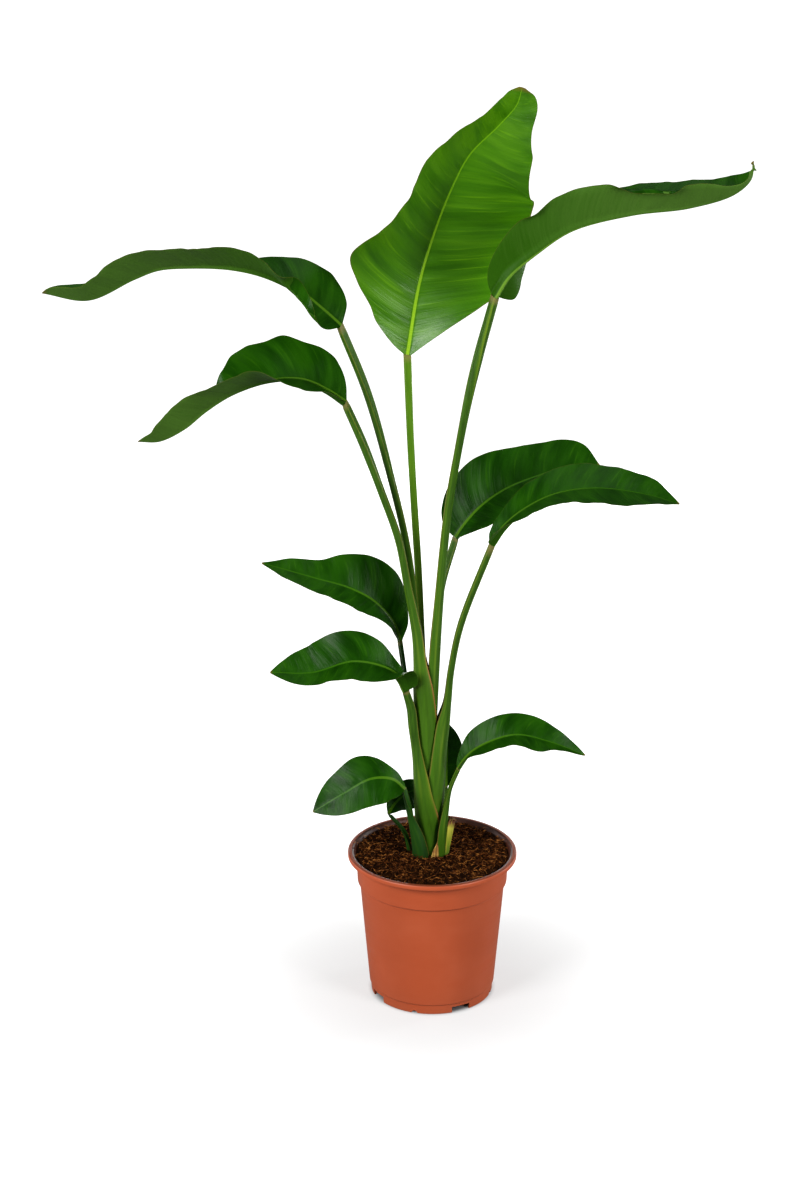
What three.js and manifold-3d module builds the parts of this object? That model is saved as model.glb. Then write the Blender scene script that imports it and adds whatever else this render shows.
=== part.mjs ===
// A potted white bird of paradise: twelve leaves on sheathing stalks in a nursery pot of coir soil.
// Millimetres, +Z up. The origin is on the pot's axis, on the surface it stands on.
// The viewer's side is -Y and +X is to the viewer's right.
import * as THREE from 'three';
import { mergeVertices } from 'three/addons/utils/BufferGeometryUtils.js';
import Module from 'manifold-3d';

const wasm = await Module();
wasm.setup();

// Pot: a 24 cm nursery container
const POT_HEIGHT = 217;
const RIM_RADIUS = 120;
const RIM_DROP = 7;
const LIP_WALL = 2;
const COLLAR_RADIUS = 108;
const COLLAR_STEP = 172;
const BODY_TOP_RADIUS = 103.2;
const BODY_FOOT_RADIUS = 89.6;
const FOOT_RADIUS = 87;
const FOOT_HEIGHT = 14;
const FOOT_WALL = 3;
const WALL = 2.2;
const FLOOR_UNDERSIDE = 8;
const HUB_RADIUS = 14;
const POT_SEGMENTS = 40;
const BOTTOM_BEVEL = 1.5;
const COLLAR_FLARE = 3.2;
const RIM_NECK = { below: 11, out: 3.5 };
const RIM_ROUND = { down: 1.3, inward: 1.2 };
const RIM_TOP_WIDTH = 6;
const RIM_THROAT = { below: 9, inward: 1.4, mouth: 4, dip: 1.4 };
const STEP_INSIDE = 1.2;
const STEP_FALL = 2.5;
const NOTCH_REACH = 16;
const SMALL_NOTCH_SIDES = 10;
const NOTCH_COUNT = 4;
const FIRST_NOTCH_DEG = 28;
const NOTCH_WIDTH = 28;
const NOTCH_HEIGHT = 9.5;
const SMALL_NOTCH_RADIUS = 4.5;
const DRAIN_RADIUS = 5;
const DRAIN_CIRCLE_RADIUS = 64;
const DRAIN_SIDES = 8;

// Soil: filled to just under the rim, heaped a little round the stem
const SOIL_LEVEL = 212.5;
const SOIL_MOUND = 1.5;
const SOIL_LUMP = 1.8;
const SOIL_RINGS = [20, 42, 62, 80, 97];
const MOUND_RADIUS = 48;
const SOIL_AT_WALL = 1.5;
const SOIL_EDGE_RADIUS = COLLAR_RADIUS + 0.7;

// Leaves
const BLADE = 0.9;
const CLEARANCE = 0.3;
const TIP_HALF_WIDTH = 0.9;
const NO_FLIP = { turn: [[0, 0], [1, 0]], from: [[0, 1], [1, 1]], over: 1 };

const FLOOR_TOP = FLOOR_UNDERSIDE + WALL;
const DEG = Math.PI / 180;
const UP = new THREE.Vector3(0, 0, 1);

function leafGreen(hex, roughness = 0.38) {
  return new THREE.MeshStandardMaterial({ color: hex, roughness, metalness: 0 });
}

const DARK_LEAF = leafGreen(0x1f5a14);
const LIGHT_LEAF = leafGreen(0x3f8f10, 0.34);
const STALK_GREEN = leafGreen(0x3c7a22, 0.45);
const BRIGHT_STALK = leafGreen(0x6fae2a, 0.42);
const DRY_SHEATH = leafGreen(0x8a5a34, 0.85);
const STUB_GREEN = leafGreen(0xa3a64a, 0.6);
const SOIL_BROWN = leafGreen(0x3a1d10, 0.95);
const TERRACOTTA_PLASTIC = leafGreen(0xb05838, 0.42);

// A smooth curve through [position, value] stations
function through(stations, at) {
  const last = stations.length - 1;
  if (at <= stations[0][0]) return stations[0][1];
  if (at >= stations[last][0]) return stations[last][1];
  const slope = (i) => {
    const a = stations[Math.max(i - 1, 0)];
    const b = stations[Math.min(i + 1, last)];
    return (b[1] - a[1]) / (b[0] - a[0]);
  };
  let i = 0;
  while (at > stations[i + 1][0]) i += 1;
  const [x0, y0] = stations[i];
  const [x1, y1] = stations[i + 1];
  const span = x1 - x0;
  const t = (at - x0) / span;
  const rise = 3 * t * t - 2 * t * t * t;
  const start = t * (1 - t) * (1 - t) * span * slope(i);
  const end = t * t * (t - 1) * span * slope(i + 1);
  return y0 + (y1 - y0) * rise + start + end;
}

// A body from its corner points and triangles, faces outward
function closedGeometry(points, triangles) {
  let volume = 0;
  for (const [a, b, c] of triangles) volume += points[a].dot(points[b].clone().cross(points[c]));
  const faces = volume > 0 ? triangles : triangles.map(([a, b, c]) => [a, c, b]);
  const geometry = new THREE.BufferGeometry();
  geometry.setAttribute('position', new THREE.Float32BufferAttribute(points.flatMap((p) => p.toArray()), 3));
  geometry.setIndex(faces.flat());
  return geometry;
}

function solidOf(geometry) {
  const bare = geometry.clone();
  bare.deleteAttribute('normal');
  bare.deleteAttribute('uv');
  const merged = mergeVertices(bare, 1e-3);
  const vertProperties = new Float32Array(merged.attributes.position.array);
  const triVerts = new Uint32Array(merged.index.array);
  return new wasm.Manifold(new wasm.Mesh({ numProp: 3, vertProperties, triVerts }));
}

// The largest body of a solid, without the scraps that a cut leaves
function geometryOf(solid) {
  const bodies = solid.decompose().sort((a, b) => b.volume() - a.volume());
  const mesh = bodies[0].getMesh();
  const geometry = new THREE.BufferGeometry();
  geometry.setAttribute('position', new THREE.BufferAttribute(new Float32Array(mesh.vertProperties), 3));
  geometry.setIndex(new THREE.BufferAttribute(new Uint32Array(mesh.triVerts), 1));
  return geometry;
}

const vector = ([x, y, z]) => new THREE.Vector3(x, y, z);
const spineOf = (points) => new THREE.CatmullRomCurve3(points.map(vector), false, 'centripetal');
function square(direction, tangent) {
  return direction.clone().addScaledVector(tangent, -direction.dot(tangent)).normalize();
}

// The frame of a blade at u along its midrib: tangent, upper side's normal, and the way to its near half.
// roll turns the upper side towards the viewer, in degrees.
function bladeFrame(leaf, spine, u) {
  const tangent = spine.getTangentAt(u);
  const flatNormal = square(vector(leaf.faces ?? [0, 0, 1]), tangent);
  const flatNear = tangent.clone().cross(flatNormal).multiplyScalar(leaf.heads);
  const roll = through(leaf.roll, u) * DEG;
  const normal = flatNormal.clone().multiplyScalar(Math.cos(roll)).addScaledVector(flatNear, Math.sin(roll));
  const near = flatNear.clone().multiplyScalar(Math.cos(roll)).addScaledVector(flatNormal, -Math.sin(roll));
  return { tangent, normal, near };
}

// One half of a blade at u, from the midrib to the margin: points on the upper side with their normals
function halfRow(leaf, half, frame, origin, u, sign, phase) {
  const side = frame.near.clone().multiplyScalar(sign);
  const width = Math.max(through(half.width, u), TIP_HALF_WIDTH);
  const ribHalf = (leaf.neck[1] / 2) * (1 - 0.8 * u);
  const steps = [Math.min(0.22, ribHalf / width), ...leaf.columns];
  const fold = through(half.fold ?? leaf.fold, u) * DEG;
  const flip = half.flip ?? NO_FLIP;
  const turn = through(flip.turn, u) * DEG;
  const flipFrom = through(flip.from, u);
  const lobe = half.lobe * Math.max(0, 1 - u / 0.22) ** 2 * Math.min(1, u / 0.05);
  const swell = Math.sin(Math.PI * Math.min(1, u * 1.02)) ** 0.6;
  const place = origin.clone();
  const row = [];
  let from = 0;
  for (const v of steps) {
    const angle = fold + turn * THREE.MathUtils.smoothstep((from + v) / 2, flipFrom, flipFrom + flip.over);
    const along = side.clone().multiplyScalar(Math.cos(angle)).addScaledVector(frame.normal, Math.sin(angle));
    place.addScaledVector(along, (v - from) * width);
    const normal = frame.normal.clone().multiplyScalar(Math.cos(angle)).addScaledVector(side, -Math.sin(angle));
    const wave = leaf.wave[1] * swell * Math.sin(2 * Math.PI * (leaf.wave[0] * u + phase)) * v * v;
    const point = place.clone().addScaledVector(normal, wave).addScaledVector(frame.tangent, -lobe * v * v);
    const across = Math.min(1, (v * width) / ribHalf);
    row.push({ point, normal, across });
    from = v;
  }
  return row;
}

// A leaf blade: a folded, curled sheet with a keel under its midrib, alike in triangles on both faces
function bladeGeometry(leaf) {
  const spine = spineOf(leaf.midrib);
  const columns = 2 * (leaf.columns.length + 1) + 1;
  const upper = [];
  const lower = [];
  for (let i = 0; i < leaf.rows; i += 1) {
    const u = (i / (leaf.rows - 1)) ** 1.4;
    const frame = bladeFrame(leaf, spine, u);
    const origin = spine.getPointAt(u);
    const near = halfRow(leaf, leaf.near, frame, origin, u, 1, leaf.wave[2]);
    const far = halfRow(leaf, leaf.far, frame, origin, u, -1, leaf.wave[3]);
    const middle = { point: origin, normal: frame.normal, across: 0 };
    const keel = (leaf.neck[0] - BLADE) * (1 - u) ** 1.6;
    for (const { point, normal, across } of [...far.reverse(), middle, ...near]) {
      upper.push(point.clone());
      const deep = keel * (1 - across * across) ** 0.7;
      lower.push(point.clone().addScaledVector(normal, -BLADE).addScaledVector(frame.normal, -deep));
    }
  }
  const points = [...upper, ...lower];
  const under = upper.length;
  const triangles = [];
  for (let i = 0; i + 1 < leaf.rows; i += 1) {
    for (let j = 0; j + 1 < columns; j += 1) {
      const a = i * columns + j;
      const b = a + 1;
      const c = b + columns;
      const d = a + columns;
      triangles.push([a, b, c], [a, c, d], [under + a, under + c, under + b],
    [under + a, under + d, under + c]);
    }
  }
  const rim = [];
  for (let j = 0; j < columns; j += 1) rim.push(j);
  for (let i = 1; i < leaf.rows; i += 1) rim.push(i * columns + columns - 1);
  for (let j = columns - 2; j >= 0; j -= 1) rim.push((leaf.rows - 1) * columns + j);
  for (let i = leaf.rows - 2; i > 0; i -= 1) rim.push(i * columns);
  rim.forEach((a, k) => {
    const b = rim[(k + 1) % rim.length];
    triangles.push([a, under + b, b], [a, under + a, under + b]);
  });
  return closedGeometry(points, triangles);
}

// The section of a stalk: round at the back, with a shallow channel between its two edges.
// wrap is how far round the edges reach, in degrees from the middle of the back.
function stalkSection(depth, breadth, wrap) {
  const steps = 8;
  const edge = Math.cos(wrap * DEG);
  const channel = 0.12 * Math.max(0, Math.min(1, (170 - wrap) / 50));
  const section = [];
  for (let k = 0; k <= steps; k += 1) {
    const angle = wrap * DEG * (k / (steps / 2) - 1);
    section.push([Math.cos(angle), Math.sin(angle)]);
  }
  section.push([edge + channel * (1 - edge), 0.45 * Math.sin(wrap * DEG)]);
  section.push([edge + channel * (1 - edge), -0.45 * Math.sin(wrap * DEG)]);
  const middle = (1 + edge) / 2;
  return section.map(([a, b]) => [((a - middle) / (1 - edge)) * depth, (b * breadth) / 2]);
}

// A stalk with its sheath: the section swept up through its rows [x, y, z, depth, breadth, wrap], where
// depth is measured across the fan and breadth through it. grow widens it all round, to cut a neighbour clear.
function stalkGeometry(stalk, grow = 0) {
  const rows = stalk.rows.map((row) => [...row]);
  const top = rows.length;
  let headTangent = null;
  let headBack = vector(stalk.back);
  if (stalk.leaf) {
    const spine = spineOf(stalk.leaf.midrib);
    const { tangent, normal } = bladeFrame(stalk.leaf, spine, 0);
    const [depth, breadth] = stalk.leaf.neck;
    const head = vector(stalk.leaf.midrib[0]).addScaledVector(normal, -depth / 2);
    head.addScaledVector(tangent, grow - CLEARANCE);
    rows.push([...head.toArray(), depth, breadth, 112]);
    headTangent = tangent;
    headBack = normal.clone().negate();
  }
  const path = spineOf(rows);
  const segments = rows.length - 1;
  const perSegment = stalk.perSegment ?? 1;
  const count = segments * perSegment;
  const value = (column, t) => through(rows.map((row, k) => [k / segments, row[column]]), t);
  const points = [];
  for (let s = 0; s <= count; s += 1) {
    const t = s / count;
    const isHead = s === count && headTangent !== null;
    const tangent = isHead ? headTangent : path.getTangent(t);
    const toHead = THREE.MathUtils.smoothstep(t, 1 - 3 / top, 1);
    const back = square(vector(stalk.back).lerp(headBack, toHead), tangent);
    const through90 = tangent.clone().cross(back);
    const center = path.getPoint(t);
    if (s === 0) center.addScaledVector(tangent, -grow);
    if (s === count && headTangent === null) center.addScaledVector(tangent, grow);
    const section = stalkSection(value(3, t) + 2 * grow, value(4, t) + 2 * grow, value(5, t));
    section.forEach(([a, b], k) => {
      const torn = s === count && stalk.torn ? stalk.torn * Math.sin(k * 2.4) : 0;
      const point = center.clone().addScaledVector(back, a).addScaledVector(through90, b);
      points.push(point.addScaledVector(tangent, torn));
    });
  }
  const sides = points.length / (count + 1);
  const triangles = [];
  for (let s = 0; s < count; s += 1) {
    for (let k = 0; k < sides; k += 1) {
      const a = s * sides + k;
      const b = s * sides + ((k + 1) % sides);
      triangles.push([a, b, b + sides], [a, b + sides, a + sides]);
    }
  }
  for (const [s, turn] of [[0, 1], [count, -1]]) {
    const middle = new THREE.Vector3();
    for (let k = 0; k < sides; k += 1) middle.addScaledVector(points[s * sides + k], 1 / sides);
    points.push(middle);
    for (let k = 0; k < sides; k += 1) {
      const a = s * sides + k;
      const b = s * sides + ((k + 1) % sides);
      triangles.push(turn > 0 ? [b, a, points.length - 1] : [a, b, points.length - 1]);
    }
  }
  return closedGeometry(points, triangles);
}

// The pot's section, from the hub under the middle round the outside and back along the inside
function potProfile() {
  const lipTop = POT_HEIGHT - LIP_WALL;
  return [
    [0, 0],
    [HUB_RADIUS, 0],
    [HUB_RADIUS + 1, FLOOR_UNDERSIDE],
    [FOOT_RADIUS - FOOT_WALL - BOTTOM_BEVEL, FLOOR_UNDERSIDE],
    [FOOT_RADIUS - FOOT_WALL, 0],
    [FOOT_RADIUS, 0],
    [FOOT_RADIUS + 1, FOOT_HEIGHT],
    [BODY_FOOT_RADIUS, FOOT_HEIGHT + BOTTOM_BEVEL],
    [BODY_TOP_RADIUS, COLLAR_STEP - 1],
    [BODY_TOP_RADIUS + COLLAR_FLARE, COLLAR_STEP + 0.5],
    [COLLAR_RADIUS, POT_HEIGHT - RIM_NECK.below],
    [COLLAR_RADIUS + RIM_NECK.out, lipTop],
    [RIM_RADIUS - LIP_WALL, lipTop],
    [RIM_RADIUS - LIP_WALL, POT_HEIGHT - RIM_DROP],
    [RIM_RADIUS, POT_HEIGHT - RIM_DROP],
    [RIM_RADIUS, POT_HEIGHT - RIM_ROUND.down],
    [RIM_RADIUS - RIM_ROUND.inward, POT_HEIGHT],
    [RIM_RADIUS - RIM_TOP_WIDTH, POT_HEIGHT],
    [COLLAR_RADIUS + RIM_THROAT.mouth, POT_HEIGHT - RIM_THROAT.dip],
    [COLLAR_RADIUS - RIM_THROAT.inward, POT_HEIGHT - RIM_THROAT.below],
    [BODY_TOP_RADIUS + STEP_INSIDE, COLLAR_STEP],
    [BODY_TOP_RADIUS - WALL, COLLAR_STEP - STEP_FALL],
    [BODY_FOOT_RADIUS - WALL, FOOT_HEIGHT + 1],
    [FOOT_RADIUS - FOOT_WALL, FLOOR_TOP],
    [0, FLOOR_TOP],
  ];
}

function lathe(profile, segments) {
  const turned = new THREE.LatheGeometry(profile.map(([r, z]) => new THREE.Vector2(r, z)), segments);
  return turned.rotateX(Math.PI / 2);
}

function potGeometry() {
  const cutters = [];
  for (let k = 0; k < 2 * NOTCH_COUNT; k += 1) {
    const angle = (FIRST_NOTCH_DEG + (k * 180) / NOTCH_COUNT - 90) * DEG;
    const big = k % 2 === 0;
    const cutter = big
      ? new THREE.BoxGeometry(NOTCH_REACH, NOTCH_WIDTH, 2 * NOTCH_HEIGHT)
      : new THREE.CylinderGeometry(SMALL_NOTCH_RADIUS, SMALL_NOTCH_RADIUS, NOTCH_REACH, SMALL_NOTCH_SIDES);
    if (!big) cutter.rotateZ(Math.PI / 2);
    cutters.push(cutter.translate(FOOT_RADIUS, 0, 0).rotateZ(angle));
    const drain = new THREE.CylinderGeometry(DRAIN_RADIUS, DRAIN_RADIUS, 4 * WALL, DRAIN_SIDES);
    drain.rotateX(Math.PI / 2).translate(DRAIN_CIRCLE_RADIUS, 0, FLOOR_UNDERSIDE + WALL / 2).rotateZ(angle);
    cutters.push(drain);
  }
  let pot = solidOf(lathe(potProfile(), POT_SEGMENTS));
  for (const cutter of cutters) pot = pot.subtract(solidOf(cutter));
  return geometryOf(pot);
}

// Height of the soil at x, y: a low mound with lumps that fade at the wall
function soilHeight(x, y) {
  const r = Math.hypot(x, y);
  const mound = SOIL_MOUND * Math.exp(-((r / MOUND_RADIUS) ** 2));
  const lumps = Math.sin(x * 0.09 + 1.3) * Math.cos(y * 0.11 - 0.4) + 0.6 * Math.sin((x - y) * 0.17 + 2.1);
  return SOIL_LEVEL + mound + SOIL_LUMP * lumps;
}

function soilGeometry(standing) {
  const wallAt = (z) => {
    const share = (z - FOOT_HEIGHT - 1) / (COLLAR_STEP - STEP_FALL - FOOT_HEIGHT - 1);
    return THREE.MathUtils.lerp(BODY_FOOT_RADIUS - WALL, BODY_TOP_RADIUS - WALL, share);
  };
  const inside = CLEARANCE + 0.1;
  const profile = [
    [0, FLOOR_TOP + CLEARANCE],
    [FOOT_RADIUS - FOOT_WALL - inside, FLOOR_TOP + CLEARANCE],
    [wallAt(FOOT_HEIGHT + 1) - inside, FOOT_HEIGHT + 1.6],
    [wallAt(COLLAR_STEP - STEP_FALL) - inside, COLLAR_STEP - STEP_FALL],
    [BODY_TOP_RADIUS + STEP_INSIDE - inside, COLLAR_STEP + 0.4],
    [COLLAR_RADIUS - RIM_THROAT.inward - inside, POT_HEIGHT - RIM_THROAT.below],
    [SOIL_EDGE_RADIUS - inside, SOIL_LEVEL - SOIL_AT_WALL],
    ...SOIL_RINGS.slice().reverse().map((r) => [r, SOIL_LEVEL]),
    [0, SOIL_LEVEL],
  ];
  const geometry = lathe(profile, POT_SEGMENTS);
  const position = geometry.attributes.position;
  for (let k = 0; k < position.count; k += 1) {
    if (position.getZ(k) < SOIL_LEVEL - 1) continue;
    position.setZ(k, soilHeight(position.getX(k), position.getY(k)));
  }
  let soil = solidOf(geometry);
  for (const stalk of standing) soil = soil.subtract(solidOf(stalkGeometry(stalk, CLEARANCE)));
  return geometryOf(soil);
}

// Leaves. midrib: from the base to the tip. heads: 1 where the leaf points to the right, -1 to the left.
// roll and fold: [u, degrees]. neck: depth and breadth where the stalk meets the blade.
// near and far: how far the base lobe sweeps back, and the half-width at stations [u, mm]. A half with its own
// fold leaves the leaf's. Where its margin turns over, flip has the degrees and where across the half they start.
// wave: ripples along the leaf, their height, and the phase of the near and the far half.
const WIDE = [0.3, 0.55, 0.8, 1];
const NARROW = [0.36, 0.7, 1];
const SLIM = [0.5, 1];

const leaf1 = {
  midrib: [[-36, 26, 936], [-20, 38, 1031], [-2, 46, 1092], [21, 52, 1152], [46, 54, 1200], [84, 48, 1240],
    [107, 40, 1269], [113, 34, 1292]],
  heads: 1, faces: [0, -1, 0.1], roll: [[0, 0], [0.2, 4], [0.4, 18], [0.7, 20], [0.9, 8], [1, 0]],
  fold: [[0, 25], [0.2, 14], [0.4, 20], [0.7, 20], [1, 10]], neck: [9, 11],
  near: { lobe: 0, width: [[0, 5], [0.03, 17], [0.1, 46], [0.2, 85], [0.3, 111], [0.42, 121], [0.6, 111],
    [0.72, 102], [0.82, 70], [0.9, 38], [0.96, 25], [0.985, 17], [1, 4]] },
  far: { lobe: 2, width: [[0, 5], [0.03, 22], [0.1, 50], [0.15, 62], [0.22, 88], [0.29, 110], [0.38, 90],
    [0.5, 64], [0.62, 61], [0.72, 47], [0.84, 30], [0.94, 23], [0.98, 17], [1, 4]] },
  wave: [2.2, 4, 0.1, 0.45], rows: 21, columns: WIDE,
};
const leaf2 = {
  midrib: [[78, -42, 1034], [97, -46, 1067], [130, -52, 1097], [175, -58, 1127], [252, -64, 1147],
    [326, -64, 1155], [383, -60, 1171], [404, -58, 1190], [406, -58, 1213]],
  heads: 1, roll: [[0, -66], [0.06, -60], [0.15, -38], [0.3, -27], [0.5, -22], [0.72, -17], [1, -15]],
  fold: [[0, 12], [0.06, 14], [0.15, 34], [0.3, 47], [0.5, 43], [0.72, 39], [1, 35]], neck: [10, 12],
  near: {
    lobe: 6,
    width: [[0, 5], [0.03, 15], [0.1, 31], [0.2, 46], [0.3, 50], [0.42, 52], [0.55, 50], [0.7, 44],
      [0.78, 38], [0.84, 26], [0.9, 12], [0.96, 7], [1, 3]],
    flip: { turn: [[0, 0], [0.22, 0], [0.28, -60], [0.34, 0], [0.48, 0], [0.56, -120], [0.66, -110],
      [0.72, 0], [1, 0]],
      from: [[0, 0.75], [1, 0.75]], over: 0.2 },
  },
  far: { lobe: 24, width: [[0, 5], [0.03, 27], [0.1, 38], [0.2, 56], [0.3, 64], [0.38, 76], [0.45, 77],
    [0.55, 70], [0.7, 62], [0.82, 53], [0.9, 40], [0.95, 20], [0.975, 5], [1, 2]] },
  wave: [2.5, 2, 0.1, 0.5], rows: 21, columns: WIDE,
};
const leaf3 = {
  midrib: [[-124, 6, 982], [-145, 4, 1002], [-178, 0, 1030], [-220, -4, 1052], [-267, -6, 1063],
    [-329, -6, 1064], [-365, -5, 1060], [-397, -4, 1047], [-458, -2, 1018], [-519, 0, 1027]],
  heads: -1, roll: [[0, 40], [0.1, 40], [0.15, 35], [0.2, 22], [0.25, 0], [0.3, -10], [0.36, -15],
    [0.46, -18], [0.68, -16], [1, -10]],
  fold: [[0, 20], [0.05, 12], [0.1, 8], [0.15, 10], [0.2, 8], [0.25, 20], [0.3, 19], [0.36, 14], [0.46, 20],
    [0.68, 27], [0.83, 33], [1, 35]], neck: [9, 11],
  near: {
    lobe: 3,
    width: [[0, 5], [0.03, 21], [0.06, 28], [0.1, 35], [0.15, 34], [0.2, 35], [0.25, 34], [0.3, 38],
      [0.36, 50], [0.42, 59], [0.5, 57], [0.6, 58], [0.7, 55], [0.78, 46], [0.88, 35], [0.95, 26],
      [0.985, 14], [1, 2]],
    fold: [[0, 0], [0.05, -5], [0.15, 0], [0.2, -3], [0.25, 18], [0.3, 25], [0.36, 24], [0.46, 20],
      [0.68, 27], [0.83, 33], [1, 35]],
    flip: { turn: [[0, 0], [0.05, 15], [0.1, 90], [0.15, 130], [0.2, 110], [0.25, 10], [0.3, 0], [1, 0]],
      from: [[0, 0.7], [0.1, 0.55], [0.15, 0.4], [0.2, 0.25], [1, 0.25]], over: 0.35 },
  },
  far: { lobe: 4, width: [[0, 5], [0.03, 31], [0.1, 52], [0.15, 52], [0.2, 57], [0.25, 55], [0.3, 56],
    [0.4, 70], [0.5, 72], [0.6, 69], [0.75, 53], [0.88, 38], [0.95, 26], [0.985, 14], [1, 2]] },
  wave: [3, 2.5, 0.1, 0.6], rows: 21, columns: WIDE,
};
const leaf4 = {
  midrib: [[-118, -14, 883], [-141, -16, 899], [-175, -20, 915], [-219, -24, 915], [-269, -26, 897],
    [-305, -27, 873], [-334, -26, 848], [-368, -24, 830], [-397, -22, 829]],
  heads: -1, roll: [[0, 18], [0.1, 21], [0.28, 19], [0.4, 4], [0.53, -3], [0.61, -20], [0.75, -25],
    [1, -22]],
  fold: [[0, 27], [0.1, 29], [0.2, 22], [0.28, 27], [0.4, 35], [0.53, 37], [0.61, 24], [0.75, 31], [1, 28]],
  neck: [9, 11],
  near: { lobe: 2, width: [[0, 5], [0.03, 20], [0.1, 38], [0.2, 52], [0.3, 58], [0.45, 52], [0.6, 48],
    [0.75, 43], [0.88, 33], [0.95, 18], [1, 1]] },
  far: { lobe: 2, width: [[0, 5], [0.03, 21], [0.1, 46], [0.16, 56], [0.22, 58], [0.28, 65], [0.35, 61],
    [0.42, 67], [0.48, 60], [0.54, 44], [0.6, 44], [0.7, 48], [0.85, 38], [0.94, 22], [1, 1]] },
  wave: [3, 2, 0.1, 0.5], rows: 19, columns: WIDE,
};
const leaf5 = {
  midrib: [[30, 44, 671], [44, 48, 691], [67, 53, 715], [99, 57, 737], [140, 60, 754], [187, 61, 768],
    [229, 60, 770]],
  heads: 1, roll: [[0, 32], [1, 34]],
  fold: [[0, 26], [0.3, 20], [1, 14]], neck: [7.5, 9.5],
  near: { lobe: 2, width: [[0, 5], [0.03, 11], [0.1, 30], [0.2, 48], [0.4, 56], [0.6, 54], [0.8, 40],
    [0.92, 18], [1, 1]] },
  far: { lobe: 8, width: [[0, 5], [0.03, 19], [0.1, 40], [0.2, 54], [0.35, 61], [0.5, 55], [0.7, 46],
    [0.82, 41], [0.92, 29], [1, 1]] },
  wave: [2, 2.5, 0.1, 0.5], rows: 16, columns: WIDE,
};
const leaf6 = {
  midrib: [[76, -30, 688], [92, -33, 712], [117, -36, 736], [161, -40, 761], [217, -42, 770],
    [285, -42, 761], [330, -40, 747]],
  heads: 1, roll: [[0, 14], [1, 16]],
  fold: [[0, 35], [0.15, 20], [0.5, 11], [1, 11]], neck: [8.5, 10.5],
  near: { lobe: 6, width: [[0, 5], [0.03, 16], [0.1, 27], [0.2, 34], [0.35, 43], [0.5, 48], [0.7, 50],
    [0.8, 42], [0.9, 24], [0.96, 9], [1, 1]] },
  far: { lobe: 4, width: [[0, 5], [0.03, 13], [0.1, 22], [0.2, 31], [0.35, 43], [0.5, 52], [0.62, 46],
    [0.75, 39], [0.88, 34], [0.95, 15], [1, 1]] },
  wave: [2.5, 2, 0.1, 0.5], rows: 16, columns: WIDE,
};
const leaf7 = {
  midrib: [[-45, 22, 526], [-54, 24, 552], [-81, 22, 585], [-117, 20, 606], [-162, 19, 620],
    [-236, 17, 643]],
  heads: -1, roll: [[0, 39], [1, 39]],
  fold: [[0, 30], [0.2, 22], [1, 18]], neck: [6, 7],
  near: { lobe: 0, width: [[0, 3], [0.03, 6], [0.1, 14], [0.2, 26], [0.35, 35], [0.5, 38], [0.65, 30],
    [0.8, 20], [0.92, 10], [1, 1]] },
  far: { lobe: 0, width: [[0, 3], [0.03, 8], [0.1, 22], [0.2, 42], [0.3, 53], [0.42, 54], [0.55, 43],
    [0.68, 27], [0.85, 17], [0.94, 7], [1, 1]] },
  wave: [2, 2, 0.1, 0.5], rows: 14, columns: NARROW,
};
const leaf8 = {
  midrib: [[-35, -20, 471], [-46, -23, 491], [-68, -27, 507], [-111, -30, 516], [-167, -31, 500],
    [-225, -28, 499]],
  heads: -1, roll: [[0, -4], [0.1, 2], [0.2, 28], [0.5, 37], [1, 37]],
  fold: [[0, 54], [0.1, 62], [0.2, 30], [0.5, 22], [1, 16]], neck: [9, 11],
  near: { lobe: 7, width: [[0, 5], [0.03, 17], [0.1, 26], [0.2, 40], [0.35, 44], [0.5, 39], [0.7, 27],
    [0.85, 19], [0.94, 10], [1, 1]] },
  far: { lobe: 1, width: [[0, 5], [0.03, 8], [0.1, 12], [0.2, 20], [0.3, 33], [0.42, 42], [0.55, 45],
    [0.7, 40], [0.85, 29], [0.94, 14], [1, 1]] },
  wave: [2, 2, 0.1, 0.5], rows: 14, columns: NARROW,
};
const leaf9 = {
  midrib: [[35, -16, 350], [49, -18, 371], [71, -22, 389], [115, -26, 405], [163, -28, 395],
    [212, -28, 375]],
  heads: 1, roll: [[0, 30], [1, 37]],
  fold: [[0, 40], [0.2, 30], [1, 22]], neck: [5, 6],
  near: { lobe: 2, width: [[0, 3], [0.03, 9], [0.1, 17], [0.2, 22], [0.35, 29], [0.5, 32], [0.65, 29],
    [0.8, 15], [0.92, 6], [1, 1]] },
  far: { lobe: 2, width: [[0, 3], [0.03, 7], [0.1, 14], [0.2, 25], [0.4, 31], [0.6, 29], [0.8, 18],
    [0.92, 9], [1, 1]] },
  wave: [2.5, 2, 0.1, 0.5], rows: 14, columns: NARROW,
};
const leaf10 = {
  midrib: [[-39, -24, 322], [-56, -27, 338], [-86, -30, 340], [-124, -32, 319], [-168, -32, 290]],
  heads: -1, roll: [[0, 55], [1, 55]],
  fold: [[0, 20], [0.3, 8], [1, 5]], neck: [6, 7],
  near: { lobe: 3, width: [[0, 3], [0.03, 16], [0.1, 31], [0.2, 37], [0.4, 39], [0.6, 34], [0.8, 24],
    [0.92, 12], [1, 1]] },
  far: { lobe: 0, width: [[0, 3], [0.03, 5], [0.1, 9], [0.2, 17], [0.3, 28], [0.42, 36], [0.6, 33],
    [0.75, 27], [0.88, 16], [0.95, 8], [1, 1]] },
  wave: [2, 1.5, 0.1, 0.5], rows: 14, columns: NARROW,
};
const leaf11 = {
  midrib: [[20, 32, 301], [20, 34, 330], [21, 37, 364], [15, 42, 400]],
  heads: 1, faces: [0.3, -1, 0.2], roll: [[0, 0], [1, 0]],
  fold: [[0, 30], [1, 14]], neck: [4, 5],
  near: { lobe: 0, width: [[0, 2], [0.08, 10], [0.35, 21], [0.55, 22], [0.8, 14], [1, 1]] },
  far: { lobe: 0, width: [[0, 2], [0.08, 10], [0.35, 19], [0.55, 19], [0.8, 12], [1, 1]] },
  wave: [1, 1, 0.1, 0.5], rows: 10, columns: SLIM,
};
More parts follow.
